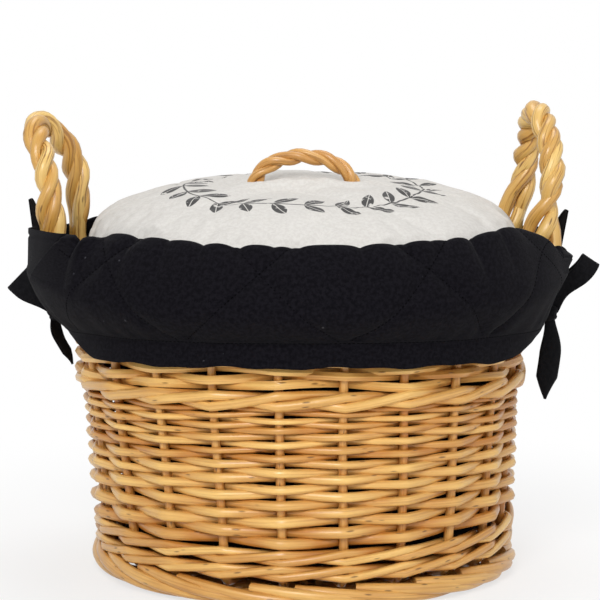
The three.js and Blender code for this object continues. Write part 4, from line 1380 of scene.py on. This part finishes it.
def tie_loop(tie, knot_at, outward, sideways):
    """The path, broad direction and widths of a loop that stands out of the knot."""
    rise = math.radians(tie["rise"])
    ahead = outward * math.cos(rise) + UPWARD * math.sin(rise)
    broad = UPWARD * math.cos(rise) - outward * math.sin(rise)
    round_turn = TURN * np.linspace(0, 1, 49)
    reach = tie["loop"] * (1 - np.cos(round_turn)) / 2
    sway = tie["sway"] * np.sin(TURN * reach / tie["loop"] - 0.6)
    path = knot_at + np.outer(reach + 2.5, ahead) + np.outer(2.2 * np.sin(round_turn), sideways)
    path = path + np.outer(tie["bend"] * reach**2, outward) + np.outer(sway, broad)
    wider = (tie["loop_width"] - RIBBON_AT_KNOT) * smooth_share(reach / tie["loop"] / 0.8)
    return path, np.broadcast_to(broad, path.shape), RIBBON_AT_KNOT + wider


def tie_tail(tie, knot_at, outward, sideways):
    """The path, broad directions and widths of a tail that hangs and turns, cut to a point."""
    drop = np.linspace(0, 1, 31)
    twist = np.radians(tie["turn"]) * smooth_share(0.45 + drop)
    drift = tie["drift"] * drop**1.5 + 1.2 * np.sin(drop * 5)
    path = knot_at + np.outer(-3 - tie["tail"] * drop, UPWARD) + np.outer(drift, outward)
    broad = np.outer(np.cos(twist), outward) + np.outer(np.sin(twist), sideways)
    wider = (tie["tail_width"] - RIBBON_AT_KNOT) * smooth_share(drop / 0.45)
    return path, broad, (RIBBON_AT_KNOT + wider) * np.clip((1.03 - drop) / 0.3, 0.12, 1)


for side, tie in TIES.items():
    outward, sideways = compass(handle_angles[side])
    knot_low, knot_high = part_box(f"tie_{side}_knot")
    knot_at = np.array((knot_low + knot_high) / 2) / MM - tie["inset"] * outward
    knot = knot_ball(f"tie_{side}_knot_wrap", knot_at, np.stack([outward, sideways, UPWARD]))
    settle(knot, "basket", "black_ribbon", f"tie_{side}_knot")
    loop, run = strip(f"tie_{side}_loop_ribbon", *tie_loop(tie, knot_at, outward, sideways), cup=0.0)
    settle(loop, "basket", "black_ribbon", f"tie_{side}_loop")
    path, broad, width = tie_tail(tie, knot_at, outward, sideways)
    tail, run = strip(f"tie_{side}_tail_ribbon", path, broad, width, cup=1.0)
    settle(tail, "basket", "black_ribbon", f"tie_{side}_tail")
    print("tie", side, "tail", round(run), "mm")

# %% Label tab
TAB_WIDTH, TAB_HALF_GAP, TAB_FOOT, TAB_FOLD = 12.0, 0.55, -6.9, 6
tab_low, tab_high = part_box("label_tab")
tab_at = np.array((tab_low + tab_high) / 2) / MM
outward, sideways = compass(math.atan2(tab_at[1], tab_at[0]))
fold_turn = np.linspace(0, math.pi, 11)
leg = np.linspace(TAB_FOOT, TAB_FOLD, 8)
fold_out = np.concatenate([np.full(8, 1), np.cos(fold_turn), np.full(8, -1)]) * TAB_HALF_GAP
fold_up = np.concatenate([leg, TAB_FOLD + 0.2 + TAB_HALF_GAP * np.sin(fold_turn), leg[::-1]])
path = tab_at + np.outer(fold_out, outward) + np.outer(fold_up, UPWARD)
broad, width = np.broadcast_to(sideways, path.shape), np.full(len(path), TAB_WIDTH)
tab, run = strip("label_tab_tape", path, broad, width, cup=0, thickness=0.4)
settle(tab, "basket", "black_ribbon", "label_tab")

# %% [markdown]
# ## Floor and light
# A plain pale floor and soft light from large lamps show the shapes without hard shadows. The camera
# sees the backdrop as white, while the lamps stay at a level where colours look as they are written.

# %% Floor
FLOOR_HALF, FLOOR_LEVEL = 8.0, -0.0002
SHADED, SHADE_START, SHADE_END = 0.7, 0.14, 0.4


def seen_directly(tree):
    """1 for what the camera, a reflection or glass sees, and 0 for light on its way to the object."""
    path = place(tree, "ShaderNodeLightPath")
    mirrored = calc("MAXIMUM", path["Is Glossy Ray"], path["Is Transmission Ray"])
    return calc("MAXIMUM", path["Is Camera Ray"], mirrored)


corners = [(x * FLOOR_HALF, y * FLOOR_HALF, FLOOR_LEVEL) for x, y in ((-1, -1), (1, -1), (1, 1), (-1, 1))]
floor_mesh = bpy.data.meshes.new("floor")
floor_mesh.from_pydata(corners, [], [(0, 1, 2, 3)])
pale_floor, tree, shader = new_material("pale floor", Roughness=0.9, Base_Color=(0.92, 0.92, 0.92, 1))
brightness = fade(length_of(own_place(tree)), SHADE_START, SHADE_END) * (1 - SHADED) + SHADED
glow = place(tree, "ShaderNodeEmission", {"Color": (1, 1, 1, 1), "Strength": 1.0})[0]
painted = Wire(tree, shader.outputs[0])
lit = place(tree, "ShaderNodeMixShader", {0: seen_directly(tree) * brightness, 1: painted, 2: glow})[0]
join(lit, tree.nodes["Material Output"].inputs[0])
floor_mesh.materials.append(pale_floor)
linked("floor", floor_mesh)
print("floor of", 2 * FLOOR_HALF, "m")

# %% World
AMBIENT = 0.33
world = bpy.data.worlds.new("studio")
bpy.context.scene.world = world
world.use_nodes = True
background = world.node_tree.nodes["Background"]
background.inputs["Color"].default_value = (1, 1, 1, 1)
join(seen_directly(world.node_tree) * (1 - AMBIENT) + AMBIENT, background.inputs["Strength"])
print("world lights with", AMBIENT)

# %% Lamps
LAMP_TARGET = np.array([0, 0, 0.12])


def lamp(name, position, size, watts):
    light = bpy.data.lights.new(name, "AREA")
    light.shape = "DISK"
    light.size = size
    light.energy = watts
    made = linked(name, light)
    made.location = position
    away = np.array(position) - LAMP_TARGET
    flat = math.hypot(away[0], away[1])
    made.rotation_euler = (math.atan2(flat, away[2]), 0, math.atan2(away[0], -away[1]))
    print(name, "lamp of", watts, "watts")


lamp("key", (-0.35, -1.95, 1.25), size=0.9, watts=30)
lamp("fill", (1.4, -1.2, 0.9), size=1.2, watts=4)
lamp("top", (0.2, 0.5, 1.9), size=1.2, watts=14)
